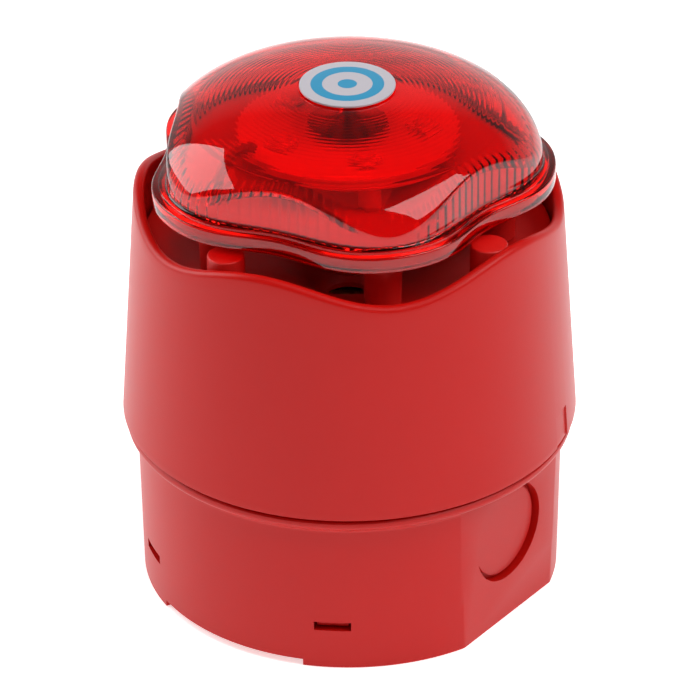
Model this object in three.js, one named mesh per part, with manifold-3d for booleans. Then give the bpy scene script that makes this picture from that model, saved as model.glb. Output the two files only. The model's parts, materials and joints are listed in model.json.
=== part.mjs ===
// Horn strobe: a wall-mounted fire alarm sounder with a red flashing beacon on top.
//
// The deep base fixes to the wall and holds the terminals. The head turns onto it by a
// three-lug bayonet and carries the electronics, a compression driver, a radial horn and
// the beacon. The sound leaves through the wavy gap between the housing's rim and the lens.
//
// Millimetres, +Z up, origin in the middle of the face that lies on the wall.
// Azimuths are in degrees from -Y, growing towards +X. The conduit entries face +X and -X.

import * as THREE from "three";
import { mergeVertices } from "three/addons/utils/BufferGeometryUtils.js";
import Module from "manifold-3d";

const wasm = await Module();
wasm.setup();

// ---------------------------------------------------------------- driving dimensions

// Clearances
const FIT = 0.3; // between pieces that touch on the real object
const RUNNING = 0.4; // between pieces that move past each other

// Base
const BASE_RADIUS = 43.1; // at the wall
const BASE_DRAFT = 0.015; // radius gained per millimetre of height
const BASE_HEIGHT = 36.4; // wall to the top of the lip
const BASE_WALL = 2.4;
const LIP_RADIUS = 45.9;
const LIP_HEIGHT = 1.8;
const LIP_CHAMFER = 1.2;
const FLAT_DISTANCE = 40.4; // axis to each conduit flat
const KNOCKOUT_RADIUS = 10.7; // for 20 mm conduit
const KNOCKOUT_TAPER = 0.8;
const KNOCKOUT_DEPTH = 1.7;
const KNOCKOUT_HEIGHT = 20.3; // centre above the wall
const RELIEF_HEIGHT = 1.4; // the rim stands clear of the wall between its pads
const RELIEF_HALF_ANGLE = 24.3;
const WINDOW_AZIMUTH = 32.4; // snap windows, to each side of -Y and +Y
const WINDOW_WIDTH = 7.5;
const WINDOW_HEIGHT = 2.0;
const WINDOW_Z = 9.9; // middle of a window

// Bayonet between base and head
const COLLAR_RADIUS = 41.0;
const COLLAR_WALL = 3.1;
const COLLAR_HEIGHT = 9.2; // above the lip
const LUGS = 3;
const LUG_AZIMUTH = 105.5; // of the lug that the housing's mark shows
const LUG_HALF_ANGLE = 7;
const RAMP_HALF_ANGLE = 8;
const RAMP_REACH = 1.8; // out from the collar
const LUG_THICKNESS = 1.8;
const LUG_LIFT = 2.0; // lug above the lip
const UNLOCK_ANGLE = 20;
const STOP_ANGLE = 2; // width of a stop
const SEAL_CORD = 0.95; // radius of the face seal's cord

// Mounting plate
const PLATE_THICKNESS = 2.5;
const CABLE_HOLE_RADIUS = 9;
const FIXING_SPAN = 60.3; // between the two slots
const SLOT_WIDTH = 4.6;
const SLOT_LENGTH = 8;
const SNAP_THICKNESS = 1.8;
const SNAP_WIDTH = 6.4;

// Terminals
const POLES = 4;
const POLE_PITCH = 6.6;
const BLOCK_DEPTH = 11;
const BLOCK_HEIGHT = 13;
const BLOCK_WALL = 0.6; // outside the end poles
const BLOCK_Y = 21;
const BLOCK_Z = 12; // underside
const CAGE_TRAVEL = 2.0;
const CAGE_HEIGHT = 6.2;
const CAGE_HALF_WIDTH = 2.3;
const CAGE_LENGTH = 5;
const CAGE_SHEET = 1.0;
const TERMINAL_SHANK = 1.2;
const TERMINAL_HEAD = 2.0;
const BAR_THICKNESS = 0.8;
const BAR_WIDTH = 2.4;
const SPRING_WIDTH = 4;
const SPRING_THICKNESS = 0.5;

// Housing
const HEAD_RADIUS = 46.5; // at its lower edge
const HEAD_DRAFT = 0.07; // radius lost per millimetre of height
const HOUSING_HEIGHT = 48.8; // lower edge to the middle of the wavy rim
const HOUSING_WALL = 2.3;
const SEAM_GAP = 0.76;
const RIM_WAVE = 2.5; // the rim falls by this at a lobe and rises by it at a valley
const MARK_WIDTH = 6;
const MARK_HEIGHT = 7;
const MARK_DEPTH = 0.35;

// Lens
const LOBES = 5;
const LOBE_AZIMUTH = 50.2;
const WALL_RADIUS = 36.5; // mean radius of the lobed wall
const WALL_WAVE = 2.35;
const FLANGE_RADIUS = 39.4;
const FLANGE_WAVE = 2.45;
const FLANGE_SHARPNESS = 0.35; // second harmonic, which sharpens the valleys
const FLANGE_RISE = 1.8; // above the rim's highest point
const FLANGE_HEIGHT = 3.9;
const LENS_WALL = 2.2;
const DOME_RADIUS = 39.6;
const DOME_DROP = 19.8;
const DOME_POWER = 2.72;
const DOME_APEX = 19.5; // above the underside of the flange
const LABEL_RADIUS = 9.6;
const LABEL_THICKNESS = 0.4;
const LABEL_RECESS = 0.35;
const NOTCH_RADIUS = 3; // lever notch in the flange, at one valley
const NOTCH_HEIGHT = 1.7;

// Chassis and main board
const CUP_WALL = 1.8;
const FLOOR = 2;
const CUP_DROP = 2.4; // floor below the base's lip
const SHOULDER_THICKNESS = 2;
const SHOULDER_LIFT = 10.6; // underside above the lip
const EAR_THICKNESS = 2.5; // of the housing's ears, which hold the chassis down
const BOARD_THICKNESS = 1.6;
const STANDOFF = 3;
const DIP_POLES = 5;
const DIP_PITCH = 2.54;
const DIP_TRAVEL = 1.6;
const DIP_DEPTH = 6.5;
const DIP_Y = -12;
const POT_SIZE = 7;
const POT_X = 16;
const POT_Y = -10;
const ROTOR_RADIUS = 2.4;
const CAPACITOR_RADIUS = 4;
const CAPACITOR_HEIGHT = 11;
const INDUCTOR_RADIUS = 5;
const INDUCTOR_HEIGHT = 7;
const PART_OFFSET = 0.2; // of the tall parts, out from the middle of the ring round the yoke
const CONTACT_WIDTH = 4.4;
const CONTACT_THICKNESS = 0.4;

// Driver
const YOKE_RADIUS = 16;
const YOKE_HEIGHT = 12;
const YOKE_WALL = 2;
const YOKE_LIFT = 2.4; // above the main board
const MAGNET_RADIUS = 9;
const MAGNET_HEIGHT = 6;
const POLE_RADIUS = 9.5;
const FRAME_RADIUS = 22;
const FRAME_HEIGHT = 4.4;
const COIL_RADIUS = 11; // middle of the coil
const DIAPHRAGM_RADIUS = 19;
const DIAPHRAGM_SHEET = 0.5;
const DIAPHRAGM_RISE = 2.5;
const STROKE = 0.3; // each way

// Horn and beacon
const THROAT_RADIUS = 5;
const HORN_WALL = 2;
const HORN_DROP = 9.2; // the horn's brim below the rim's middle
const LEDGE_THICKNESS = 2;
const FLARE_MARGIN = 2.43; // the flare ends this far outside the post circle
const POST_CIRCLE = 30;
const POST_RADIUS = 4;
const POST_BORE = 1.9;
const PAD_DROP = 2.6; // screw pads below the horn's brim
const DRUM_AZIMUTHS = [-3.6, 86.4, 176.4]; // round bosses that stand on the brim
const DRUM_RADIUS = 3.9;
const DRUM_HEIGHT = 10.5;
const TRAY_THICKNESS = 2;
const PLUG_RADIUS = 22; // deflecting cone under the tray
const PLUG_CLEARANCE = 5; // between the cone's tip and the throat
const BEACON_BOARD_RADIUS = 22;
const BEACON_BOARD_LIFT = 5.5; // above the tray
const LED_CIRCLE = 15;
const LED_SIZE = 5;
const LED_HEIGHT = 1.8;
const REFLECTOR_RADIUS = 8;
const REFLECTOR_HEIGHT = 4;
const LEAD_RADIUS = 1.0;

// Self-tapping screws
const SCREW = { head: 2.0, headHeight: 1.5, shank: 1.1 };
const PILOT = SCREW.shank + FIT;

// Smoothness of round shapes
const FINE = 60;
const MEDIUM = 30;
const COARSE = 12;
const SMALL = 8;

// ---------------------------------------------------------------- derived levels

const SEAM_Z = BASE_HEIGHT + SEAM_GAP;
const RIM_Z = SEAM_Z + HOUSING_HEIGHT;
const FLANGE_Z = RIM_Z + RIM_WAVE + FLANGE_RISE;
const APEX_Z = FLANGE_Z + DOME_APEX;
const COLLAR_TOP = BASE_HEIGHT + COLLAR_HEIGHT;
const COLLAR_BORE = COLLAR_RADIUS - COLLAR_WALL;
const FLOOR_Z = BASE_HEIGHT - CUP_DROP;
const CUP_RADIUS = COLLAR_BORE - RUNNING - FIT;
const SHOULDER_Z = BASE_HEIGHT + SHOULDER_LIFT;
const BOARD_Z = FLOOR_Z + FLOOR + STANDOFF;
const BOARD_TOP = BOARD_Z + BOARD_THICKNESS;
const BOARD_RADIUS = CUP_RADIUS - CUP_WALL - 1;
const PART_CIRCLE = (YOKE_RADIUS + BOARD_RADIUS) / 2 + PART_OFFSET;
const YOKE_Z = BOARD_TOP + YOKE_LIFT;
const YOKE_TOP = YOKE_Z + YOKE_HEIGHT;
const FRAME_Z = YOKE_TOP - 3;
const FRAME_TOP = FRAME_Z + FRAME_HEIGHT;
const DIAPHRAGM_Z = FRAME_TOP + STROKE + RUNNING;
const HORN_BACK = DIAPHRAGM_Z + DIAPHRAGM_SHEET + STROKE + RUNNING;
const THROAT_Z = HORN_BACK + DIAPHRAGM_RISE + 1.2;
const BRIM_TOP = RIM_Z - HORN_DROP;
const BRIM_Z = BRIM_TOP - HORN_WALL;
const LEDGE_TOP = BRIM_Z - FIT;
const POST_Z = BRIM_TOP + FIT;
const PAD_Z = BRIM_Z - PAD_DROP;
const BRIM_INNER = POST_CIRCLE + FLARE_MARGIN;
const TRAY_Z = FLANGE_Z + 0.2;
const TRAY_TOP = TRAY_Z + TRAY_THICKNESS;
const BEACON_BOARD_Z = TRAY_TOP + BEACON_BOARD_LIFT;

const housingOuter = (z) => HEAD_RADIUS - HEAD_DRAFT * (z - SEAM_Z);
const housingInner = (z) => housingOuter(z) - HOUSING_WALL;
const baseOuter = (z) => BASE_RADIUS + BASE_DRAFT * z;
const baseInner = (z) => baseOuter(z) - BASE_WALL;
const radians = THREE.MathUtils.degToRad;
const lobeWave = (azimuth) => Math.cos(LOBES * radians(azimuth - LOBE_AZIMUTH));

const wallRadius = (azimuth) => WALL_RADIUS + WALL_WAVE * lobeWave(azimuth);
function flangeRadius(azimuth) {
  const wave = lobeWave(azimuth);
  return FLANGE_RADIUS + FLANGE_WAVE * wave - FLANGE_SHARPNESS * (2 * wave * wave - 1);
}

// ---------------------------------------------------------------- solids

// A closed geometry as a manifold-3d solid.
function solid(geometry) {
  const bare = geometry.clone();
  for (const name of Object.keys(bare.attributes)) {
    if (name !== "position") bare.deleteAttribute(name);
  }
  const merged = mergeVertices(bare, 1e-4);
  const mesh = new wasm.Mesh({
    numProp: 3,
    vertProperties: merged.attributes.position.array,
    triVerts: new Uint32Array(merged.index.array),
  });
  return new wasm.Manifold(mesh);
}

// A manifold-3d solid as a geometry.
function geometryOf(body) {
  const mesh = body.getMesh();
  const geometry = new THREE.BufferGeometry();
  geometry.setAttribute("position", new THREE.BufferAttribute(mesh.vertProperties, 3));
  geometry.setIndex(new THREE.BufferAttribute(mesh.triVerts, 1));
  return geometry;
}

const join = (first, ...others) => others.reduce((body, other) => body.add(other), first);
const cut = (first, ...others) => others.reduce((body, other) => body.subtract(other), first);

// A solid of revolution about Z from [radius, z] points, listed counter-clockwise.
function turned(profile, segments = FINE) {
  const points = profile.map(([radius, z]) => new THREE.Vector2(radius, z));
  const onAxis = profile[0][0] === 0 && profile.at(-1)[0] === 0;
  if (!onAxis) points.push(points[0].clone());
  return solid(new THREE.LatheGeometry(points, segments).rotateX(Math.PI / 2));
}

// An outline of [x, y] points, raised from z0 to z1.
function raised(outline, z0, z1) {
  const shape = new THREE.Shape(outline.map(([x, y]) => new THREE.Vector2(x, y)));
  const options = { depth: z1 - z0, bevelEnabled: false };
  return solid(new THREE.ExtrudeGeometry(shape, options).translate(0, 0, z0));
}

function box(x0, x1, y0, y1, z0, z1) {
  const geometry = new THREE.BoxGeometry(x1 - x0, y1 - y0, z1 - z0);
  return solid(geometry.translate((x0 + x1) / 2, (y0 + y1) / 2, (z0 + z1) / 2));
}

function cylinder(radius, z0, z1, x = 0, y = 0, segments = COARSE) {
  const geometry = new THREE.CylinderGeometry(radius, radius, z1 - z0, segments);
  return solid(geometry.rotateX(Math.PI / 2).translate(x, y, (z0 + z1) / 2));
}

// The point at a radius and an azimuth.
const polar = (radius, azimuth) => [
  radius * Math.sin(radians(azimuth)),
  -radius * Math.cos(radians(azimuth)),
];

// Turns a solid that was made at azimuth 0 to another azimuth.
const turnTo = (body, azimuth) => body.rotate([0, 0, azimuth]);

// A curved block between two radii and two azimuths.
function sector(inner, outer, from, to, z0, z1) {
  const steps = Math.max(2, Math.ceil((to - from) / 4));
  const azimuths = Array.from({ length: steps + 1 }, (_, i) => from + ((to - from) * i) / steps);
  const outline = azimuths.map((azimuth) => polar(outer, azimuth));
  outline.push(...azimuths.reverse().map((azimuth) => polar(inner, azimuth)));
  return raised(outline, z0, z1);
}

// An outline whose radius is a function of azimuth.
const closedOutline = (radiusAt, segments = FINE) =>
  Array.from({ length: segments }, (_, i) => {
    const azimuth = (360 * i) / segments;
    return polar(radiusAt(azimuth), azimuth);
  });

const lobed = (radiusAt, z0, z1, segments = FINE) =>
  raised(closedOutline(radiusAt, segments), z0, z1);

const everyTurn = (count, first, make) =>
  Array.from({ length: count }, (_, i) => make(first + (360 * i) / count, i));

// ---------------------------------------------------------------- materials

const plastic = (color, roughness) =>
  new THREE.MeshStandardMaterial({ color, roughness, metalness: 0 });
const metal = (color, roughness) =>
  new THREE.MeshStandardMaterial({ color, roughness, metalness: 1 });

const redShell = plastic(0xc62828, 0.42);
const redInner = plastic(0x9c1616, 0.5);
const redLens = new THREE.MeshStandardMaterial({
  color: 0xd0101a,
  roughness: 0.06,
  transparent: true,
  opacity: 0.6,
});
const whiteLabel = plastic(0xe4e2e4, 0.35);
const greyMoulding = plastic(0x3a3d40, 0.55);
const whiteMoulding = plastic(0xf1efe8, 0.45);
const rubber = plastic(0x1b1b1c, 0.85);
const greenBoard = plastic(0x1d5a38, 0.4);
const whiteBoard = plastic(0xf2f2ee, 0.35);
const ferrite = plastic(0x2b2a2c, 0.6);
const steel = metal(0xb9bcc0, 0.35);
const bronze = metal(0xc99a55, 0.3);
const film = plastic(0xc9a05a, 0.3);
const cable = plastic(0xa31d1d, 0.5);

// A named mesh of a solid or a geometry.
function piece(name, shape, material, x = 0, y = 0, z = 0) {
  const geometry = shape.isBufferGeometry ? shape : geometryOf(shape);
  const mesh = new THREE.Mesh(geometry, material);
  mesh.name = name;
  mesh.position.set(x, y, z);
  return mesh;
}

// ---------------------------------------------------------------- base

function baseSkirt() {
  const chamferZ = BASE_HEIGHT - LIP_HEIGHT - LIP_CHAMFER;
  const outside = [
    [baseOuter(0), 0],
    [baseOuter(chamferZ), chamferZ],
    [LIP_RADIUS, chamferZ + LIP_CHAMFER],
    [LIP_RADIUS, BASE_HEIGHT],
    [COLLAR_RADIUS, BASE_HEIGHT],
    [COLLAR_RADIUS, COLLAR_TOP],
  ];
  const inside = [
    [COLLAR_BORE, COLLAR_TOP],
    [COLLAR_BORE, chamferZ],
    [baseInner(chamferZ - COLLAR_WALL), chamferZ - COLLAR_WALL],
    [baseInner(0), 0],
  ];
  const shell = turned([...outside, ...inside]);
  const filled = turned([[0, 0], ...outside.slice(0, 2), [0, chamferZ]]);
  const reach = LIP_RADIUS + 1;
  const flatInside = FLAT_DISTANCE - BASE_WALL;
  const flatWalls = cut(filled, box(-flatInside, flatInside, -reach, reach, -1, BASE_HEIGHT));
  const beyondFlats = [-1, 1].map((side) => {
    const near = side * FLAT_DISTANCE;
    const far = side * reach;
    return box(Math.min(near, far), Math.max(near, far), -reach, reach, -1, chamferZ);
  });
  return cut(
    join(shell, flatWalls),
    ...beyondFlats,
    ...[-1, 1].map(knockoutRecess),
    ...[0, 180].map(rimRelief),
    ...windowAzimuths().map(snapWindow),
    sealGroove(),
  ).add(join(...everyTurn(LUGS, LUG_AZIMUTH, bayonetRamp)));
}

// The shallow round recess that leaves a web to be knocked out for a conduit.
function knockoutRecess(side) {
  const over = 1; // the cutter runs past the flat
  const slope = KNOCKOUT_TAPER / KNOCKOUT_DEPTH;
  const depth = KNOCKOUT_DEPTH + over;
  const wide = KNOCKOUT_RADIUS + slope * over;
  const narrow = KNOCKOUT_RADIUS - KNOCKOUT_TAPER;
  const [positive, negative] = side > 0 ? [wide, narrow] : [narrow, wide];
  const geometry = new THREE.CylinderGeometry(positive, negative, depth, MEDIUM);
  geometry.rotateZ(-Math.PI / 2);
  const middle = side * (FLAT_DISTANCE + over - depth / 2);
  return solid(geometry.translate(middle, 0, KNOCKOUT_HEIGHT));
}

const rimRelief = (azimuth) =>
  sector(
    baseInner(0) - 2,
    baseOuter(0) + 2,
    azimuth - RELIEF_HALF_ANGLE,
    azimuth + RELIEF_HALF_ANGLE,
    -1,
    RELIEF_HEIGHT,
  );

const windowAzimuths = () => [
  -WINDOW_AZIMUTH,
  WINDOW_AZIMUTH,
  180 - WINDOW_AZIMUTH,
  180 + WINDOW_AZIMUTH,
];

function snapWindow(azimuth) {
  const half = WINDOW_WIDTH / 2;
  const [near, far] = [baseInner(0) - 3, baseOuter(WINDOW_Z) + 2];
  const [low, high] = [WINDOW_Z - WINDOW_HEIGHT / 2, WINDOW_Z + WINDOW_HEIGHT / 2];
  return turnTo(box(-half, half, -far, -near, low, high), azimuth);
}

const sealMiddle = (COLLAR_RADIUS + COLLAR_BORE) / 2;
const sealDepth = 2 * SEAL_CORD + 2 * FIT - (SHOULDER_Z - COLLAR_TOP);

function sealGroove() {
  const half = SEAL_CORD + 0.1;
  const floor = COLLAR_TOP - sealDepth;
  return turned([
    [sealMiddle - half, floor],
    [sealMiddle + half, floor],
    [sealMiddle + half, COLLAR_TOP + 1],
    [sealMiddle - half, COLLAR_TOP + 1],
  ]);
}

// A ramp that holds a lug down, with a stop at each end of the lug's travel.
function bayonetRamp(azimuth) {
  const lugTop = BASE_HEIGHT + LUG_LIFT + LUG_THICKNESS;
  const rampZ = lugTop + RUNNING;
  const rampTop = rampZ + LUG_THICKNESS;
  const [inner, outer] = [COLLAR_RADIUS - 1, COLLAR_RADIUS + RAMP_REACH];
  const lugEdge = LUG_HALF_ANGLE + 1;
  const lockedStop = azimuth - lugEdge;
  const openStop = azimuth + UNLOCK_ANGLE + lugEdge;
  const stopFoot = BASE_HEIGHT + LUG_LIFT;
  return join(
    sector(inner, outer, lockedStop - STOP_ANGLE, azimuth + RAMP_HALF_ANGLE, rampZ, rampTop),
    sector(inner, outer, lockedStop - STOP_ANGLE, lockedStop, stopFoot, rampTop),
    sector(inner, outer, openStop, openStop + STOP_ANGLE, stopFoot, rampTop),
  );
}

function baseSeal() {
  const geometry = new THREE.TorusGeometry(sealMiddle, SEAL_CORD, 6, FINE);
  return piece("base_seal", geometry, rubber, 0, 0, SHOULDER_Z - FIT - SEAL_CORD);
}

const blockWidth = POLES * POLE_PITCH + 2 * BLOCK_WALL;
const poleX = (index) => (index - (POLES - 1) / 2) * POLE_PITCH;

// The floor of the base, which screws to the wall and snaps into the skirt's windows.
function mountingPlate() {
  const radius = baseInner(0) - RUNNING;
  const half = FLAT_DISTANCE - BASE_WALL - RUNNING;
  const disc = cylinder(radius, 0, PLATE_THICKNESS, 0, 0, FINE);
  const floor = disc.intersect(box(-half, half, -radius, radius, -1, PLATE_THICKNESS + 1));
  const wallOfHole = cylinder(CABLE_HOLE_RADIUS + 1.5, 0, PLATE_THICKNESS + 1.5, 0, 0, MEDIUM);
  const pillars = [-1, 1].map((side) => {
    const middle = (side * blockWidth) / 3;
    const [front, back] = [BLOCK_Y - BLOCK_DEPTH / 3, BLOCK_Y + BLOCK_DEPTH / 3];
    return box(middle - 2, middle + 2, front, back, 0, BLOCK_Z - FIT);
  });
  return cut(
    join(floor, wallOfHole, ...pillars, ...windowAzimuths().map(snapArm)),
    cylinder(CABLE_HOLE_RADIUS, -1, PLATE_THICKNESS + 4, 0, 0, MEDIUM),
    ...[0, 180].map(fixingSlot),
    ...[90, 270].map(fixingHole),
  );
}

function snapArm(azimuth) {
  const half = SNAP_WIDTH / 2;
  const outer = baseInner(0) - RUNNING;
  const inner = outer - SNAP_THICKNESS;
  const barbLow = WINDOW_Z - WINDOW_HEIGHT / 2 + FIT;
  const barbHigh = WINDOW_Z + WINDOW_HEIGHT / 2 - FIT;
  const top = WINDOW_Z + WINDOW_HEIGHT;
  const barbReach = baseOuter(WINDOW_Z) - 0.6;
  const arm = box(-half, half, -outer, -inner, 0, top);
  const barb = box(-half, half, -barbReach, -inner, barbLow, barbHigh);
  return turnTo(join(arm, barb), azimuth);
}

function fixingSlot(azimuth) {
  const half = SLOT_WIDTH / 2;
  const middle = FIXING_SPAN / 2;
  const straight = SLOT_LENGTH / 2 - half;
  const [near, far] = [middle - straight, middle + straight];
  return turnTo(
    join(
      box(-half, half, -far, -near, -1, PLATE_THICKNESS + 1),
      cylinder(half, -1, PLATE_THICKNESS + 1, 0, -near, COARSE),
      cylinder(half, -1, PLATE_THICKNESS + 1, 0, -far, COARSE),
    ),
    azimuth,
  );
}

function fixingHole(azimuth) {
  const [x, y] = polar((FIXING_SPAN * 5) / 6 / 2, azimuth);
  return cylinder(SLOT_WIDTH / 2, -1, PLATE_THICKNESS + 1, x, y, COARSE);
}

// Levels inside a pole, from the block's underside.
const CAGE_Z = BLOCK_Z + 1.8;
const POLE_CEILING = CAGE_Z + CAGE_HEIGHT + CAGE_TRAVEL + FIT;
const SCREW_SEAT = POLE_CEILING + 1;
const BAR_Z = CAGE_Z + CAGE_HEIGHT - CAGE_SHEET - 0.6 - BAR_THICKNESS;
const CAGE_Y = -0.7; // middle of a cage in the block
const blockBack = BLOCK_DEPTH / 2;

function terminalBlock() {
  const half = blockWidth / 2;
  const top = BLOCK_Z + BLOCK_HEIGHT;
  const body = box(-half, half, -blockBack, blockBack, BLOCK_Z, top);
  const poles = Array.from({ length: POLES }, (_, index) => {
    const x = poleX(index);
    const side = CAGE_HALF_WIDTH + FIT;
    const depthEnd = CAGE_Y + CAGE_LENGTH / 2 + RUNNING;
    const barSide = BAR_WIDTH / 2 + FIT;
    return join(
      box(x - side, x + side, -blockBack - 1, depthEnd, CAGE_Z - FIT, POLE_CEILING),
      cylinder(TERMINAL_SHANK + RUNNING, POLE_CEILING - 1, top, x, CAGE_Y),
      cylinder(TERMINAL_HEAD + RUNNING, SCREW_SEAT, top + 1, x, CAGE_Y),
      box(x - barSide, x + barSide, 0, blockBack + 1, BAR_Z - FIT, BAR_Z + BAR_THICKNESS + FIT),
    );
  });
  return piece("terminal_block", cut(body, ...poles), greyMoulding, 0, BLOCK_Y, 0);
}

// The cage that the screw draws up against the conductor bar.
function terminalCage(index) {
  const half = CAGE_LENGTH / 2;
  const sheet = CAGE_SHEET;
  const side = CAGE_HALF_WIDTH;
  const window = side - sheet * 0.8;
  const body = cut(
    box(-side, side, -half, half, 0, CAGE_HEIGHT),
    box(-window, window, -half - 1, half + 1, sheet, CAGE_HEIGHT - sheet),
    cylinder(TERMINAL_SHANK + FIT, CAGE_HEIGHT - sheet - 1, CAGE_HEIGHT + 1),
  );
  const name = `terminal_cage_${index + 1}`;
  return piece(name, body, steel, poleX(index), BLOCK_Y + CAGE_Y, CAGE_Z);
}

function terminalScrew(index) {
  const top = BLOCK_Z + BLOCK_HEIGHT;
  const headZ = SCREW_SEAT + FIT;
  const tip = BAR_Z + BAR_THICKNESS + FIT;
  const slot = 0.5;
  const body = cut(
    join(
      cylinder(TERMINAL_SHANK, tip - headZ, 0.5, 0, 0, SMALL),
      cylinder(TERMINAL_HEAD, 0, top - headZ),
    ),
    box(-TERMINAL_HEAD - 1, TERMINAL_HEAD + 1, -slot / 2, slot / 2, top - headZ - 0.8, top),
  );
  const name = `terminal_screw_${index + 1}`;
  return piece(name, body, steel, poleX(index), BLOCK_Y + CAGE_Y, headZ);
}

const contactCircle = Math.hypot(POLE_PITCH, BLOCK_Y - 1);
const springTop = FLOOR_Z - CONTACT_THICKNESS - 2 * FIT;

// One bronze strip: two bars into neighbouring poles, a link behind the block, and a leaf
// that rises and curls over to press on the head's contact.
function contactSpring(side) {
  const link = blockBack + FIT;
  const linkBack = link + BAR_THICKNESS;
  const middle = side * POLE_PITCH;
  const half = SPRING_WIDTH / 2;
  const barHalf = BAR_WIDTH / 2;
  const riserTop = springTop - 5;
  const bars = [-0.5, 0.5].map((offset) => {
    const x = middle + offset * POLE_PITCH;
    const front = CAGE_Y - CAGE_LENGTH / 2;
    return box(x - barHalf, x + barHalf, front, link + 0.1, BAR_Z, BAR_Z + BAR_THICKNESS);
  });
  const reach = POLE_PITCH / 2 + barHalf;
  const linkBar = box(middle - reach, middle + reach, link, linkBack, BAR_Z, BAR_Z + 3);
  const riser = box(
    middle - half, middle + half, link, link + SPRING_THICKNESS, BAR_Z, riserTop);
  return piece(
    `contact_spring_${side < 0 ? 1 : 2}`,
    join(...bars, linkBar, riser, leafCurl(middle - half, middle + half, link, riserTop)),
    bronze, 0, BLOCK_Y, 0,
  );
}

// The leaf's curl in the YZ plane: a quarter turn forward from the riser, then a lead-out.
function leafCurl(x0, x1, y, z) {
  const radius = springTop - z;
  const steps = 6;
  const arc = (r) =>
    Array.from({ length: steps + 1 }, (_, i) => {
      const angle = (Math.PI / 2) * (i / steps);
      return [y + SPRING_THICKNESS - radius + r * Math.cos(angle), z + r * Math.sin(angle)];
    });
  const tail = 2;
  const tip = y + SPRING_THICKNESS - radius - tail;
  const outline = [
    ...arc(radius),
    [tip, springTop - 1],
    [tip, springTop - 1 - SPRING_THICKNESS],
    ...arc(radius - SPRING_THICKNESS).reverse(),
  ];
  const shape = new THREE.Shape(outline.map(([a, b]) => new THREE.Vector2(a, b)));
  const options = { depth: x1 - x0, bevelEnabled: false };
  const geometry = new THREE.ExtrudeGeometry(shape, options);
  geometry.rotateX(Math.PI / 2).rotateZ(Math.PI / 2);
  return solid(geometry.translate(x0, 0, 0));
}

// ---------------------------------------------------------------- housing and chassis

// Everything above the wavy rim, for cutting the housing's top.
function aboveRim() {
  const rings = [
    [0.5 * WALL_RADIUS, 0],
    [HEAD_RADIUS + 5, 0],
    [HEAD_RADIUS + 5, 1],
    [0.5 * WALL_RADIUS, 1],
  ];
  const top = RIM_Z + RIM_WAVE + 20;
  const positions = [];
  for (const [radius, atTop] of rings) {
    for (let i = 0; i < FINE; i++) {
      const azimuth = (360 * i) / FINE;
      const [x, y] = polar(radius, azimuth);
      positions.push(x, y, atTop ? top : RIM_Z - RIM_WAVE * lobeWave(azimuth));
    }
  }
  const index = [];
  for (let ring = 0; ring < rings.length; ring++) {
    const next = (ring + 1) % rings.length;
    for (let i = 0; i < FINE; i++) {
      const j = (i + 1) % FINE;
      const [a, b] = [ring * FINE + i, ring * FINE + j];
      const [c, d] = [next * FINE + i, next * FINE + j];
      index.push(a, b, c, b, d, c);
    }
  }
  const geometry = new THREE.BufferGeometry();
  geometry.setAttribute("position", new THREE.Float32BufferAttribute(positions, 3));
  geometry.setIndex(index);
  return solid(geometry);
}

const SHOULDER_TOP = SHOULDER_Z + SHOULDER_THICKNESS;
const SHOULDER_RADIUS = housingInner(SHOULDER_TOP) - RUNNING;
const BOSS_RADIUS = 3;
const BOSS_HEIGHT = 8;
const CHASSIS_BOSS_CIRCLE = (SHOULDER_RADIUS + CUP_RADIUS - CUP_WALL) / 2;
const CHASSIS_BOSS_TOP = SHOULDER_TOP + BOSS_HEIGHT;
const EAR_Z = CHASSIS_BOSS_TOP + FIT;
const EAR_TOP = EAR_Z + EAR_THICKNESS;
const HORN_SCREW_CIRCLE = housingInner(BRIM_TOP) - BOSS_RADIUS;
const SCREW_REACH = 7;

function housing() {
  const top = RIM_Z + RIM_WAVE + 1;
  const shell = turned([
    [housingInner(SEAM_Z), SEAM_Z],
    [housingOuter(SEAM_Z), SEAM_Z],
    [housingOuter(top), top],
    [housingInner(top), top],
  ]);
  const lugZ = BASE_HEIGHT + LUG_LIFT;
  const lugs = everyTurn(LUGS, LUG_AZIMUTH, (azimuth) =>
    sector(
      COLLAR_RADIUS + RUNNING,
      housingInner(lugZ) + 1,
      azimuth - LUG_HALF_ANGLE,
      azimuth + LUG_HALF_ANGLE,
      lugZ,
      lugZ + LUG_THICKNESS,
    ),
  );
  const body = join(
    shell,
    ...lugs,
    wallBosses(CHASSIS_BOSS_CIRCLE, EAR_Z, EAR_TOP, EAR_AZIMUTH),
    innerLedge(),
    wallBosses(HORN_SCREW_CIRCLE, LEDGE_TOP - BOSS_HEIGHT, LEDGE_TOP, HORN_BOSS_AZIMUTH),
  );
  return cut(body, aboveRim(), alignmentMark(), ...pilotHoles());
}

const HORN_BOSS_AZIMUTH = LOBE_AZIMUTH + 96; // clear of the drums and the ears
const EAR_AZIMUTH = 45;

// Round bosses that grow out of the inside of the housing's wall.
function wallBosses(circle, z0, z1, first) {
  const outside = turned([
    [0, z0],
    [housingInner(z0) + 0.5, z0],
    [housingInner(z1) + 0.5, z1],
    [0, z1],
  ]);
  const bosses = everyTurn(3, first, (azimuth) => {
    const [x, y] = polar(circle, azimuth);
    const web = turnTo(
      box(-BOSS_RADIUS / 2, BOSS_RADIUS / 2, -HEAD_RADIUS, -circle, z0, z1), azimuth);
    return cylinder(BOSS_RADIUS, z0, z1, x, y).add(web);
  });
  return join(...bosses).intersect(outside);
}

function innerLedge() {
  const low = LEDGE_TOP - LEDGE_THICKNESS;
  return turned([
    [housingInner(LEDGE_TOP) - 2 * BOSS_RADIUS, low],
    [housingInner(low) + 0.5, low],
    [housingInner(LEDGE_TOP) + 0.5, LEDGE_TOP],
    [housingInner(LEDGE_TOP) - 2 * BOSS_RADIUS, LEDGE_TOP],
  ]);
}

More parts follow.
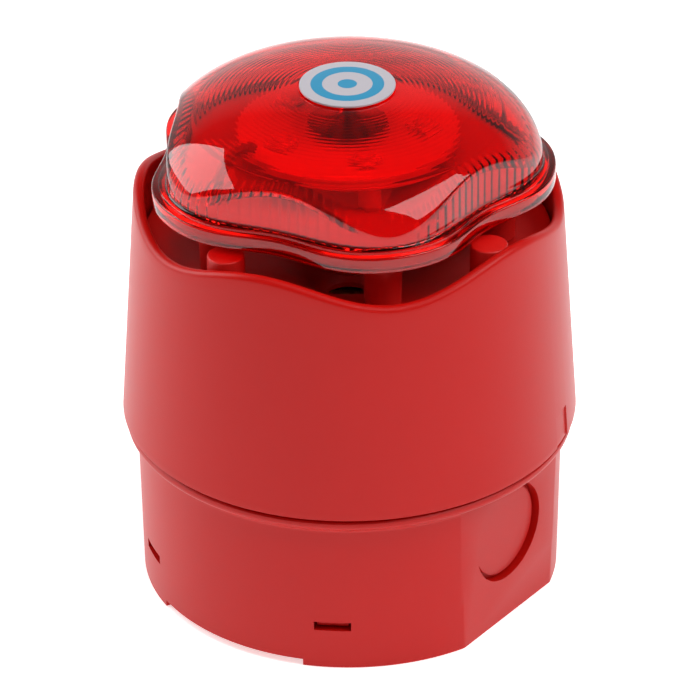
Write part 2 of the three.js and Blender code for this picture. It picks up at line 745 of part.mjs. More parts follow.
function pilotHoles() {
  const earHoles = chassisScrewPoints().map(([x, y]) =>
    cylinder(PILOT, EAR_Z - 1, EAR_TOP + 1, x, y, SMALL));
  const driverHoles = chassisScrewPoints().map(([x, y]) =>
    cylinder(SCREW.head + RUNNING, LEDGE_TOP - LEDGE_THICKNESS - 1, LEDGE_TOP + 1, x, y));
  const hornHoles = everyTurn(3, HORN_BOSS_AZIMUTH, (azimuth) => {
    const [x, y] = polar(HORN_SCREW_CIRCLE, azimuth);
    return cylinder(PILOT, LEDGE_TOP - BOSS_HEIGHT + 1, LEDGE_TOP + 1, x, y, SMALL);
  });
  return [...earHoles, ...driverHoles, ...hornHoles];
}

const chassisScrewPoints = () =>
  everyTurn(3, EAR_AZIMUTH, (azimuth) => polar(CHASSIS_BOSS_CIRCLE, azimuth));

// A shallow sunk panel above one lug, which shows where the head goes on.
function alignmentMark() {
  const deep = housingOuter(SEAM_Z + MARK_HEIGHT) - MARK_DEPTH;
  const half = MARK_WIDTH / 2;
  return turnTo(
    box(-half, half, -HEAD_RADIUS - 1, -deep, SEAM_Z - 1, SEAM_Z + MARK_HEIGHT), LUG_AZIMUTH);
}

const dipWidth = DIP_POLES * DIP_PITCH + 1.2;

// The cup that closes the head from below. Its bosses screw up to the housing's ears.
function chassis() {
  const cup = turned([
    [0, FLOOR_Z],
    [CUP_RADIUS, FLOOR_Z],
    [CUP_RADIUS, SHOULDER_Z],
    [SHOULDER_RADIUS, SHOULDER_Z],
    [SHOULDER_RADIUS, SHOULDER_TOP],
    [CUP_RADIUS - CUP_WALL, SHOULDER_TOP],
    [CUP_RADIUS - CUP_WALL, FLOOR_Z + FLOOR],
    [0, FLOOR_Z + FLOOR],
  ]);
  const standoffs = boardScrewPoints().map(([x, y]) =>
    cylinder(2.6, FLOOR_Z + 1, BOARD_Z - FIT, x, y));
  const [x0, y0] = [dipWidth / 2 + FIT, DIP_DEPTH / 2 + FIT];
  const potHalf = POT_SIZE / 2 + FIT;
  const through = [FLOOR_Z - 1, FLOOR_Z + FLOOR + 1];
  const bosses = chassisScrewPoints().map(([x, y]) =>
    cylinder(BOSS_RADIUS, SHOULDER_TOP - 1, CHASSIS_BOSS_TOP, x, y));
  return cut(
    join(cup, ...standoffs, ...bosses),
    box(-x0, x0, DIP_Y - y0, DIP_Y + y0, ...through),
    box(POT_X - potHalf, POT_X + potHalf, POT_Y - potHalf, POT_Y + potHalf, ...through),
    ...boardScrewPoints().map(([x, y]) =>
      cylinder(PILOT, FLOOR_Z + FLOOR, BOARD_Z + 1, x, y, SMALL)),
    ...chassisScrewPoints().map(([x, y]) =>
      cylinder(PILOT, SHOULDER_TOP + 1, CHASSIS_BOSS_TOP + 1, x, y, SMALL)),
    ...[-1, 1].map((side) => {
      const [x, y] = polar(contactCircle, contactAzimuth(side));
      return cylinder(1.2 + FIT, ...through, x, y, SMALL);
    }),
  );
}

const boardScrewPoints = () => [-110, 110].map((azimuth) => polar(BOARD_RADIUS - 4, azimuth));

// Azimuth of the middle of a head contact, so that its spring stays on it as the head turns.
function contactAzimuth(side) {
  const springAzimuth = 180 - side * THREE.MathUtils.radToDeg(
    Math.atan2(POLE_PITCH, BLOCK_Y - 1));
  return springAzimuth - UNLOCK_ANGLE / 2;
}

// A curved contact on the chassis's underside, with the pin that joins it to the board.
function headContact(side) {
  const half = UNLOCK_ANGLE / 2 + 6;
  const azimuth = contactAzimuth(side);
  const [inner, outer] = [contactCircle - CONTACT_WIDTH / 2, contactCircle + CONTACT_WIDTH / 2];
  const low = FLOOR_Z - FIT - CONTACT_THICKNESS;
  const [x, y] = polar(contactCircle, azimuth);
  const body = join(
    sector(inner, outer, azimuth - half, azimuth + half, low, low + CONTACT_THICKNESS),
    cylinder(1.0, low + 0.1, BOARD_Z - FIT, x, y, SMALL),
  );
  return piece(`head_contact_${side < 0 ? 1 : 2}`, body, bronze);
}

function mainBoard() {
  const disc = cylinder(BOARD_RADIUS, 0, BOARD_THICKNESS, 0, 0, MEDIUM);
  const top = BOARD_THICKNESS;
  const chip = (azimuth, outwards, width, depth, height) => {
    const [x, y] = polar(PART_CIRCLE + outwards, azimuth);
    const [halfWidth, halfDepth] = [width / 2, depth / 2];
    return box(x - halfWidth, x + halfWidth, y - halfDepth, y + halfDepth, top - 0.5, top + height);
  };
  const chips = [
    chip(180, -1.9, 12, 7, 1.6), // controller
    chip(-62, 0.5, 6, 4, 1.4), // regulator
    chip(59, 0.5, 6, 5, 2.2), // output stage
  ];
  const holes = boardScrewPoints().map(([x, y]) =>
    cylinder(PILOT, -1, BOARD_THICKNESS + 1, x, y, SMALL));
  return piece("main_board", cut(join(disc, ...chips), ...holes), greenBoard, 0, 0, BOARD_Z);
}

// A cross-headed self-tapping screw, head down at the origin, pointing up.
function screwBody(reach) {
  const { head, headHeight, shank } = SCREW;
  const profile = [
    [0, -headHeight],
    [head * 0.8, -headHeight],
    [head, -headHeight * 0.5],
    [head, 0],
    [shank, 0],
    [shank, reach - 1],
    [0, reach],
  ];
  const recess = 0.45;
  return cut(
    turned(profile, SMALL),
    box(-1.2, 1.2, -recess / 2, recess / 2, -headHeight - 1, -headHeight + 0.7),
    box(-recess / 2, recess / 2, -1.2, 1.2, -headHeight - 1, -headHeight + 0.7),
  );
}

// Screws around a circle, driven up (or down) from a seat at z.
function screws(prefix, points, z, reach, down = false) {
  const geometry = geometryOf(screwBody(reach));
  return points.map(([x, y], index) => {
    const mesh = piece(`${prefix}_${index + 1}`, geometry, steel, x, y, z);
    if (down) mesh.rotation.x = Math.PI;
    return mesh;
  });
}

// ---------------------------------------------------------------- controls

const dipBottom = FLOOR_Z + 1.0;
const leverX = (index) => (index - (DIP_POLES - 1) / 2) * DIP_PITCH;
const LEVER = { width: 1.0, length: 1.3, out: 0.7, depth: 1.2 };

function dipSwitchBody() {
  const [half, depth] = [dipWidth / 2, DIP_DEPTH / 2];
  const slots = Array.from({ length: DIP_POLES }, (_, index) => {
    const side = LEVER.width / 2 + FIT;
    const end = (LEVER.length + DIP_TRAVEL) / 2 + FIT;
    const x = leverX(index);
    return box(x - side, x + side, -end, end, dipBottom - 1, dipBottom + LEVER.depth + FIT);
  });
  const body = box(-half, half, -depth, depth, dipBottom, BOARD_Z - FIT);
  return piece("dip_switch_body", cut(body, ...slots), redInner, 0, DIP_Y, 0);
}

// A tone selector lever, at the end of its slot nearer to -Y.
function dipLever(index) {
  const { width, length, out, depth } = LEVER;
  const body = box(-width / 2, width / 2, -length / 2, length / 2, -out, depth);
  const y = DIP_Y - DIP_TRAVEL / 2;
  return piece(`dip_lever_${index + 1}`, body, whiteMoulding, leverX(index), y, dipBottom);
}

function volumePotBody() {
  const half = POT_SIZE / 2;
  const body = cut(
    box(-half, half, -half, half, dipBottom, BOARD_Z - FIT),
    cylinder(ROTOR_RADIUS + RUNNING, dipBottom - 1, dipBottom + 2, 0, 0, COARSE),
  );
  return piece("volume_pot_body", body, greyMoulding, POT_X, POT_Y, 0);
}

function volumePotRotor() {
  const body = cut(
    cylinder(ROTOR_RADIUS, -0.6, 2 - FIT, 0, 0, COARSE),
    box(-ROTOR_RADIUS * 0.8, ROTOR_RADIUS * 0.8, -0.35, 0.35, -1, 0.2),
    box(ROTOR_RADIUS * 0.3, ROTOR_RADIUS * 0.8, -0.8, 0.8, -1, 0.2), // arrow head
  );
  return piece("volume_pot_rotor", body, whiteMoulding, POT_X, POT_Y, dipBottom);
}

function capacitor() {
  const [x, y] = polar(PART_CIRCLE, -80);
  const profile = [
    [0, 0],
    [CAPACITOR_RADIUS, 0],
    [CAPACITOR_RADIUS, 1.2],
    [CAPACITOR_RADIUS - 0.4, 1.6],
    [CAPACITOR_RADIUS, 2],
    [CAPACITOR_RADIUS, CAPACITOR_HEIGHT - 0.4],
    [CAPACITOR_RADIUS - 0.4, CAPACITOR_HEIGHT],
    [0, CAPACITOR_HEIGHT],
  ];
  return piece("capacitor", turned(profile, COARSE), greyMoulding, x, y, BOARD_TOP + FIT);
}

function inductor() {
  const [x, y] = polar(PART_CIRCLE, 80);
  const waist = INDUCTOR_RADIUS - 1;
  const profile = [
    [0, 0],
    [INDUCTOR_RADIUS, 0],
    [INDUCTOR_RADIUS, 1.2],
    [waist, 1.2],
    [waist, INDUCTOR_HEIGHT - 1.2],
    [INDUCTOR_RADIUS, INDUCTOR_HEIGHT - 1.2],
    [INDUCTOR_RADIUS, INDUCTOR_HEIGHT],
    [0, INDUCTOR_HEIGHT],
  ];
  return piece("inductor", turned(profile, COARSE), ferrite, x, y, BOARD_TOP + FIT);
}

// ---------------------------------------------------------------- driver

function driverParts() {
  const bore = YOKE_RADIUS - YOKE_WALL;
  const yoke = turned([
    [0, 0],
    [YOKE_RADIUS, 0],
    [YOKE_RADIUS, YOKE_HEIGHT],
    [bore, YOKE_HEIGHT],
    [bore, YOKE_WALL],
    [0, YOKE_WALL],
  ], MEDIUM);
  const magnetZ = YOKE_Z + YOKE_WALL + FIT;
  const poleZ = magnetZ + MAGNET_HEIGHT + FIT;
  const poleHeight = YOKE_TOP - poleZ;
  const frame = turned([
    [YOKE_RADIUS + FIT, 0],
    [FRAME_RADIUS, 0],
    [FRAME_RADIUS, FRAME_HEIGHT],
    [YOKE_RADIUS + FIT, FRAME_HEIGHT],
  ], MEDIUM);
  return [
    piece("driver_yoke", yoke, steel, 0, 0, YOKE_Z),
    piece("driver_magnet", cylinder(MAGNET_RADIUS, 0, MAGNET_HEIGHT, 0, 0, MEDIUM), ferrite,
      0, 0, magnetZ),
    piece("pole_piece", cylinder(POLE_RADIUS, 0, poleHeight, 0, 0, MEDIUM), steel, 0, 0, poleZ),
    piece("driver_frame", frame, greyMoulding, 0, 0, FRAME_Z),
  ];
}

// The moving cone: a domed film with the voice coil on its former underneath.
function diaphragm() {
  const sheet = DIAPHRAGM_SHEET;
  const steps = 3;
  const dome = (lift) =>
    Array.from({ length: steps + 1 }, (_, i) => {
      const share = i / steps;
      return [COIL_RADIUS * share, lift + DIAPHRAGM_RISE * (1 - share * share)];
    });
  const coilDepth = DIAPHRAGM_Z - YOKE_TOP + 3;
  const profile = [
    ...dome(0).slice(0, -1),
    [COIL_RADIUS - 0.4, 0],
    [COIL_RADIUS - 0.4, -coilDepth],
    [COIL_RADIUS + 0.4, -coilDepth],
    [COIL_RADIUS + 0.4, 0],
    [DIAPHRAGM_RADIUS, 0],
    [DIAPHRAGM_RADIUS, sheet],
    ...dome(sheet).reverse(),
  ];
  return piece("diaphragm", turned(profile, MEDIUM), film, 0, 0, DIAPHRAGM_Z);
}

// ---------------------------------------------------------------- horn and beacon

// Height of the horn's sounding surface, which flares from the throat out to the brim.
function flareHeight(radius) {
  const share = Math.min(1, Math.log(radius / THROAT_RADIUS) / Math.log(BRIM_INNER / THROAT_RADIUS));
  return THROAT_Z + (BRIM_TOP - THROAT_Z) * share;
}

function horn() {
  const brimRadius = housingInner(BRIM_TOP) - RUNNING;
  const steps = 6;
  const radii = Array.from(
    { length: steps + 1 },
    (_, i) => THROAT_RADIUS * (BRIM_INNER / THROAT_RADIUS) ** (i / steps),
  );
  const upper = radii.map((radius) => [radius, flareHeight(radius)]);
  const under = upper.filter(([radius]) => radius > FRAME_RADIUS * 0.5)
    .map(([radius, z]) => [radius, z - HORN_WALL - 0.6]);
  const skirtInner = DIAPHRAGM_RADIUS + RUNNING;
  const skirtOuter = Math.max(FRAME_RADIUS, skirtInner + 1.5);
  const lower = [
    [THROAT_RADIUS, THROAT_Z - 1],
    [COIL_RADIUS, HORN_BACK],
    [skirtInner, HORN_BACK],
    [skirtInner, FRAME_TOP + FIT],
    [skirtOuter, FRAME_TOP + FIT],
    [skirtOuter, HORN_BACK + HORN_WALL],
  ];
  const outerUnder = under.filter(([radius, z]) => radius > skirtOuter * 0.8 && z > lower[5][1]);
  const profile = [
    ...lower,
    ...outerUnder,
    [BRIM_INNER, BRIM_Z],
    [brimRadius, BRIM_Z],
    [brimRadius, BRIM_TOP],
    ...[...upper].reverse(),
  ];
  const pads = postPoints().map(([x, y]) =>
    cylinder(BOSS_RADIUS, PAD_Z, BRIM_Z - HORN_WALL / 2, x, y));
  const drumTop = BRIM_TOP + DRUM_HEIGHT;
  const drumCircle = housingInner(drumTop) - FIT - DRUM_RADIUS;
  const drums = DRUM_AZIMUTHS.map((azimuth) => {
    const [x, y] = polar(drumCircle, azimuth);
    return cylinder(DRUM_RADIUS, BRIM_Z + HORN_WALL / 2, drumTop, x, y);
  });
  const body = join(turned(profile, FINE), ...pads, ...drums);
  return piece("horn", cut(body, ...hornHoles()), redInner);
}

const postPoints = () => everyTurn(LOBES, LOBE_AZIMUTH, (azimuth) => polar(POST_CIRCLE, azimuth));
const hornScrewPoints = () =>
  everyTurn(3, HORN_BOSS_AZIMUTH, (azimuth) => polar(HORN_SCREW_CIRCLE, azimuth));

// The last post carries the beacon's lead, and the others take a screw.
function hornHoles() {
  const low = BRIM_Z - 12;
  const high = BRIM_TOP + 1;
  const posts = postPoints().map(([x, y], index) =>
    cylinder(index === LOBES - 1 ? POST_BORE : PILOT, low, high, x, y, SMALL));
  return [...posts, ...hornScrewPoints().map(([x, y]) => cylinder(PILOT, low, high, x, y, SMALL))];
}

const trayRadius = (azimuth) => flangeRadius(azimuth) - LENS_WALL - RUNNING;

// The tray that closes the beacon. The cone below it turns the sound outwards.
function beaconTray() {
  const plugZ = THROAT_Z + PLUG_CLEARANCE;
  const steps = 4;
  const cone = Array.from({ length: steps + 1 }, (_, i) => {
    const share = i / steps;
    return [PLUG_RADIUS * share, plugZ + (TRAY_Z - plugZ) * share ** 1.6];
  });
  const plug = turned([...cone, [PLUG_RADIUS, TRAY_Z + 1], [0, TRAY_Z + 1]], MEDIUM);
  const posts = postPoints().map(([x, y]) => cylinder(POST_RADIUS, POST_Z, TRAY_Z + 1, x, y));
  const webs = everyTurn(LOBES, LOBE_AZIMUTH, (azimuth) =>
    turnTo(box(-1, 1, -POST_CIRCLE, -PLUG_RADIUS * 0.6, POST_Z + 5, TRAY_Z + 1), azimuth));
  const rests = everyTurn(3, LOBE_AZIMUTH, (azimuth) => {
    const [x, y] = polar(BEACON_BOARD_RADIUS - 3, azimuth);
    return cylinder(2.2, TRAY_Z + 1, BEACON_BOARD_Z - FIT, x, y);
  });
  const body = join(lobed(trayRadius, TRAY_Z, TRAY_TOP), plug, ...posts, ...webs, ...rests);
  const bores = postPoints().map(([x, y], index) => {
    const isLead = index === LOBES - 1;
    const top = isLead ? TRAY_TOP + 1 : TRAY_Z - 1;
    return cylinder(isLead ? POST_BORE : PILOT, POST_Z - 1, top, x, y, SMALL);
  });
  return piece("beacon_tray", cut(body, ...bores), redInner);
}

function beaconBoard() {
  const disc = cylinder(BEACON_BOARD_RADIUS, 0, BOARD_THICKNESS, 0, 0, MEDIUM);
  return piece("beacon_board", disc, whiteBoard, 0, 0, BEACON_BOARD_Z);
}

const BEACON_BOARD_TOP = BEACON_BOARD_Z + BOARD_THICKNESS;

function led(azimuth, index) {
  const half = LED_SIZE / 2;
  const [x, y] = polar(LED_CIRCLE, azimuth);
  const body = join(
    box(-half, half, -half, half, 0, LED_HEIGHT / 2),
    cylinder(half * 0.8, 0.1, LED_HEIGHT, 0, 0, 12),
  );
  return piece(`led_${index + 1}`, body, whiteMoulding, x, y, BEACON_BOARD_TOP + FIT);
}

function reflector() {
  const profile = [
    [0, 0],
    [REFLECTOR_RADIUS, 0],
    [REFLECTOR_RADIUS, 0.8],
    [REFLECTOR_RADIUS * 0.55, REFLECTOR_HEIGHT * 0.4],
    [REFLECTOR_RADIUS * 0.25, REFLECTOR_HEIGHT],
    [0, REFLECTOR_HEIGHT],
  ];
  return piece("reflector", turned(profile, MEDIUM), steel, 0, 0, BEACON_BOARD_TOP + FIT);
}

// Height of a dome above the flange's underside, inside by the given offset.
function domeProfile(offset) {
  const steps = 7;
  const radius = DOME_RADIUS - offset;
  return Array.from({ length: steps + 1 }, (_, i) => {
    const share = Math.sin((Math.PI / 2) * (i / steps));
    const fall = 1 - (1 - share ** DOME_POWER) ** (1 / DOME_POWER);
    return [radius * share, APEX_Z - offset - DOME_DROP * fall];
  });
}

// A dome down to a level, as a solid.
function domeSolid(offset, bottom) {
  const curve = domeProfile(offset).filter(([, z]) => z > bottom + 0.2);
  const edge = DOME_RADIUS - offset;
  return turned([[0, bottom], [edge, bottom], ...curve.reverse()]);
}

function lens() {
  const flangeTop = FLANGE_Z + FLANGE_HEIGHT;
  const ceiling = APEX_Z + 1;
  const body = lobed(wallRadius, FLANGE_Z, ceiling).intersect(domeSolid(0, FLANGE_Z));
  const flange = lobed(flangeRadius, FLANGE_Z, flangeTop);
  const insideWall = (azimuth) => wallRadius(azimuth) - LENS_WALL;
  const hollow = lobed(insideWall, FLANGE_Z - 1, ceiling)
    .intersect(domeSolid(LENS_WALL, FLANGE_Z - 1));
  const pocket = lobed(
    (azimuth) => flangeRadius(azimuth) - LENS_WALL, FLANGE_Z - 1, TRAY_TOP + sealHeight + 2 * FIT);
  const valley = LOBE_AZIMUTH + 180 / LOBES;
  const [x, y] = polar(flangeRadius(valley), valley);
  return cut(
    join(body, flange),
    hollow,
    pocket,
    cylinder(LABEL_RADIUS + FIT, APEX_Z - LABEL_RECESS, ceiling, 0, 0, MEDIUM),
    cylinder(NOTCH_RADIUS, FLANGE_Z - 1, FLANGE_Z + NOTCH_HEIGHT, x, y),
  );
}

const sealHeight = 0.8;

// The lobed face seal that the lens presses onto the tray.
function lensSeal() {
  const outer = closedOutline((azimuth) => trayRadius(azimuth) - 0.5);
  const inner = closedOutline((azimuth) => wallRadius(azimuth) - LENS_WALL + 0.3);
  const low = TRAY_TOP + FIT;
  const body = cut(raised(outer, low, low + sealHeight), raised(inner, low - 1, low + 2));
  return piece("lens_seal", body, rubber);
}

// The two-core lead from the main board, up inside the housing and through a hollow post.
function beaconLead() {
  const [postX, postY] = postPoints()[LOBES - 1];
  const direction = new THREE.Vector2(postX, postY).normalize();
  const along = (radius, z) => new THREE.Vector3(direction.x * radius, direction.y * radius, z);
  const boardPoint = BOARD_RADIUS - 3;
  const route = new THREE.CatmullRomCurve3([
    along(boardPoint, BOARD_TOP + FIT + LEAD_RADIUS * 0.2),
    along(boardPoint, BOARD_TOP + 6),
    along(POST_CIRCLE, SHOULDER_TOP + 4),
    along(POST_CIRCLE, BRIM_Z - 6),
    along(POST_CIRCLE, TRAY_TOP),
    along(POST_CIRCLE - 0.6, TRAY_TOP + 3),
    along(BEACON_BOARD_RADIUS + 3.5, BEACON_BOARD_TOP + 1.4),
    along(BEACON_BOARD_RADIUS - 1, BEACON_BOARD_TOP + LEAD_RADIUS + 0.5),
  ], false, "centripetal");
  const section = new THREE.Shape();
  section.absarc(0, 0, LEAD_RADIUS, 0, 2 * Math.PI);
  const options = { steps: 30, curveSegments: 4, extrudePath: route };
  return piece("beacon_lead", new THREE.ExtrudeGeometry(section, options), cable);
}

function label() {
  const disc = cylinder(LABEL_RADIUS, 0, LABEL_THICKNESS, 0, 0, MEDIUM);
  return piece("label", disc, whiteLabel, 0, 0, APEX_Z - LABEL_RECESS + FIT);
}

// ---------------------------------------------------------------- assembly

function group(name, ...members) {
  const made = new THREE.Group();
  made.name = name;
  made.add(...members);
  return made;
}

const poles = Array.from({ length: POLES }, (_, index) => index);
const levers = Array.from({ length: DIP_POLES }, (_, index) => index);

const base = group(
  "base",
  piece("base_skirt", baseSkirt(), redShell),
  piece("mounting_plate", mountingPlate(), redInner),
  terminalBlock(),
  ...[-1, 1].map(contactSpring),
  ...poles.map(terminalCage),
  ...poles.map(terminalScrew),
  baseSeal(),
);

const sounder = group(
  "sounder",
  ...driverParts(),
  diaphragm(),
  horn(),
  ...screws("horn_screw", hornScrewPoints(), BRIM_TOP + FIT, SCREW_REACH, true),
);

const beacon = group(
  "beacon",
  beaconTray(),
  ...screws("post_screw", postPoints().slice(0, -1), PAD_Z - FIT, SCREW_REACH + PAD_DROP),
  beaconBoard(),
  ...everyTurn(LOBES, LOBE_AZIMUTH, led),
  reflector(),
  beaconLead(),
  lensSeal(),
  piece("lens", lens(), redLens),
  label(),
);

const head = group(
  "head",
  piece("housing", housing(), redShell),
  piece("chassis", chassis(), redInner),
  ...screws("chassis_screw", chassisScrewPoints(), EAR_TOP + FIT, SCREW_REACH, true),
  ...screws("board_screw", boardScrewPoints(), BOARD_TOP + FIT, STANDOFF + 1, true),
  mainBoard(),
  dipSwitchBody(),
  ...levers.map(dipLever),
  volumePotBody(),
  volumePotRotor(),
  capacitor(),
  inductor(),
  ...[-1, 1].map(headContact),
  sounder,
  beacon,
);

export default group("horn_strobe", base, head);
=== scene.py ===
"""Looks of a horn strobe: a red fire alarm sounder with a lobed flashing lens.

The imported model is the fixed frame. Shells that show are rebuilt here as smooth closed
meshes in the same places, and every other part keeps its shape and gets its finish.

Sizes are in millimetres and become metres when a mesh is made. Azimuths are in degrees
from -Y and grow towards +X.
"""

from __future__ import annotations

import json
import logging
import math
from dataclasses import dataclass, field
from enum import Enum
from typing import Any, Callable, Iterable, Sequence

import bmesh
import bpy
from mathutils import Matrix, Vector

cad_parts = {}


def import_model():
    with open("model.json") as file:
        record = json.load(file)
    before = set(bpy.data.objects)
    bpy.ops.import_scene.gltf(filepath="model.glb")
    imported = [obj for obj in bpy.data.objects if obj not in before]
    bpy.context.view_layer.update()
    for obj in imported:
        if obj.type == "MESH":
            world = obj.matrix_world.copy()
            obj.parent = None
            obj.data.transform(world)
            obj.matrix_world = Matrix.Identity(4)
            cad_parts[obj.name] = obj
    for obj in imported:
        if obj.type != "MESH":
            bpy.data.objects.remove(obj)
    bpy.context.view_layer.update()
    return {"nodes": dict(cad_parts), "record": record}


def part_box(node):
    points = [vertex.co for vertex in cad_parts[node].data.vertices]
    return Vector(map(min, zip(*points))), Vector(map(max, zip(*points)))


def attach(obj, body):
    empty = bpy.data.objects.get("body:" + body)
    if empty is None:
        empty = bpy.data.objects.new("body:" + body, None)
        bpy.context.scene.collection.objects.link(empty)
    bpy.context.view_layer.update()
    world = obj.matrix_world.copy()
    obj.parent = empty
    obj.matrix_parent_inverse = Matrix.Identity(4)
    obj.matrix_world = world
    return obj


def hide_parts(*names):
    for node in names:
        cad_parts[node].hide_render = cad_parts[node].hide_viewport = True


LOG = logging.getLogger("horn_strobe")

MM = 0.001
CRISP = 32.0  # edges that turn by more than this many degrees stay sharp
SHELL_GAP = 0.02  # between two closed shells of one moulding, so that no faces coincide
BEYOND = 60.0  # a reach past every part, for cutters

Section = Callable[[float], tuple[float, float]]
Loop = list[tuple[float, float]]


# ------------------------------------------------------------------ small helpers


def linear(colour: str) -> tuple[float, float, float, float]:
    """Turns an sRGB hex colour into the linear colour that a shader takes.

    Args:
        colour: six hex digits after a hash sign.

    Returns:
        Red, green, blue and an alpha of one, in linear light.
    """
    channels = [int(colour[i : i + 2], 16) / 255 for i in (1, 3, 5)]
    low = [c / 12.92 if c <= 0.04045 else ((c + 0.055) / 1.055) ** 2.4 for c in channels]
    return (low[0], low[1], low[2], 1.0)


def polar(radius: float, azimuth: float, z: float) -> Vector:
    """The point at a radius, an azimuth and a height, in the frame's own axes.

    Args:
        radius: distance from the axis, in millimetres.
        azimuth: degrees from -Y, growing towards +X.
        z: height above the wall, in millimetres.

    Returns:
        The point in metres.
    """
    angle = math.radians(azimuth)
    return Vector((radius * math.sin(angle), -radius * math.cos(angle), z)) * MM


def blend(a: float, b: float, share: float) -> float:
    """The value that lies a share of the way from a to b."""
    return a + (b - a) * share


def steps(count: int, first: float = 0.0, last: float = 1.0) -> list[float]:
    """Evenly spaced values from first to last, both included."""
    return [blend(first, last, i / (count - 1)) for i in range(count)]


def on_curve(start: tuple[float, float], tip: tuple[float, float], end: tuple[float, float],
             t: float) -> tuple[float, float]:
    """The point a share t of the way along the quadratic curve that rounds a corner."""
    a, b, c = (1 - t) ** 2, 2 * t * (1 - t), t * t
    return tuple(a * p + b * q + c * r for p, q, r in zip(start, tip, end))


def corner(start: tuple[float, float], tip: tuple[float, float], end: tuple[float, float],
           count: int = 4) -> Loop:
    """Rounds a corner of a profile with a quadratic curve.

    Args:
        start: where the curve leaves the first side.
        tip: the sharp corner.
        end: where it joins the second side.
        count: points on the curve, ends included.

    Returns:
        The curve's points.
    """
    return [on_curve(start, tip, end, t) for t in steps(count)]


# ------------------------------------------------------------------ meshes


class Ends(Enum):
    """How a turned surface closes."""

    RING = "the last section joins the first"
    POLES = "both ends close on the axis"


def mesh_object(name: str, vertices: Sequence[Vector], faces: Sequence[Sequence[int]],
                sharp: float = CRISP) -> bpy.types.Object:
    """Makes an object from vertices in metres and faces, shaded smooth up to an angle.

    Args:
        name: the piece's name.
        vertices: points in metres.
        faces: corner indices of each face.
        sharp: edges that turn by more than this many degrees stay crisp.

    Returns:
        The linked object.
    """
    mesh = bpy.data.meshes.new(name)
    mesh.from_pydata([tuple(v) for v in vertices], [], faces)
    shape = bmesh.new()
    shape.from_mesh(mesh)
    bmesh.ops.recalc_face_normals(shape, faces=shape.faces)
    shape.to_mesh(mesh)
    shape.free()
    smooth(mesh, sharp)
    made = bpy.data.objects.new(name, mesh)
    bpy.context.scene.collection.objects.link(made)
    return made


def smooth(mesh: bpy.types.Mesh, sharp: float) -> None:
    """Shades a mesh smooth and marks the edges over an angle as sharp."""
    mesh.polygons.foreach_set("use_smooth", [True] * len(mesh.polygons))
    mesh.set_sharp_from_angle(angle=math.radians(sharp))
    mesh.update()


def swept(name: str, azimuths: Sequence[float], sections: Sequence[Section], ends: Ends,
          sharp: float = CRISP) -> bpy.types.Object:
    """Sweeps a profile round the axis, where each point may follow the azimuth.

    Args:
        name: the piece's name.
        azimuths: the columns, in degrees.
        sections: each gives a radius and a height, in millimetres, at an azimuth.
        ends: how the surface closes.
        sharp: edges that turn by more than this many degrees stay crisp.

    Returns:
        The linked object.
    """
    columns = len(azimuths)
    vertices = [polar(r, a, z) for s in sections for a in azimuths for r, z in [s(a)]]
    faces = []
    rows = len(sections)
    for row in range(rows if ends is Ends.RING else rows - 1):
        below, above = row * columns, (row + 1) % rows * columns
        for i in range(columns):
            j = (i + 1) % columns
            faces.append((below + i, below + j, above + j, above + i))
    if ends is Ends.POLES:
        for row in (0, rows - 1):
            z = sections[row](0.0)[1]
            pole = len(vertices)
            vertices.append(Vector((0, 0, z * MM)))
            first = row * columns
            faces += [(first + i, first + (i + 1) % columns, pole) for i in range(columns)]
    return mesh_object(name, vertices, faces, sharp)


def turned(name: str, profile: Iterable[tuple[float, float]], ends: Ends, columns: int = 144,
           sharp: float = CRISP) -> bpy.types.Object:
    """Turns a plain profile of radius and height round the axis."""
    sections = [lambda _, r=r, z=z: (r, z) for r, z in profile]
    return swept(name, even_azimuths(columns), sections, ends, sharp)


def even_azimuths(columns: int) -> list[float]:
    """Evenly spaced azimuths all the way round."""
    return [360.0 * i / columns for i in range(columns)]


def prism(name: str, outline: Sequence[tuple[float, float]], z0: float,
          z1: float) -> bpy.types.Object:
    """Raises an outline in millimetres from one height to another."""
    count = len(outline)
    vertices = [Vector((x, y, z)) * MM for z in (z0, z1) for x, y in outline]
    sides = [(i, (i + 1) % count, count + (i + 1) % count, count + i) for i in range(count)]
    caps = [tuple(range(count))[::-1], tuple(range(count, 2 * count))]
    return mesh_object(name, vertices, sides + caps)


def block(name: str, low: Sequence[float], high: Sequence[float]) -> bpy.types.Object:
    """A box between two corners in millimetres, used as a cutter or a blank."""
    outline = [(low[0], low[1]), (high[0], low[1]), (high[0], high[1]), (low[0], high[1])]
    return prism(name, outline, low[2], high[2])


def disc_at(name: str, radius: float, x: float, y: float, z0: float, z1: float,
            columns: int = 48) -> bpy.types.Object:
    """A round pillar about a vertical line, used as a cutter or a blank."""
    outline = [(x + radius * math.cos(a), y + radius * math.sin(a))
               for a in (2 * math.pi * i / columns for i in range(columns))]
    return prism(name, outline, z0, z1)


class Cut(Enum):
    """What a boolean does with its tool."""

    AWAY = "DIFFERENCE"
    ADD = "UNION"
    KEEP = "INTERSECT"


def settle(target: bpy.types.Object) -> None:
    """Applies all modifiers of an object to its mesh."""
    graph = bpy.context.evaluated_depsgraph_get()
    graph.update()
    made = bpy.data.meshes.new_from_object(target.evaluated_get(graph))
    target.modifiers.clear()
    target.data = made


def carve(target: bpy.types.Object, tool: bpy.types.Object, cut: Cut) -> None:
    """Cuts with a tool, or joins it, and removes the tool.

    Args:
        target: the object that is changed.
        tool: the closed object that cuts.
        cut: what the cut does.
    """
    boolean = target.modifiers.new("cut", "BOOLEAN")
    boolean.operation = cut.value
    boolean.solver = "EXACT"
    boolean.object = tool
    settle(target)
    bpy.data.objects.remove(tool)


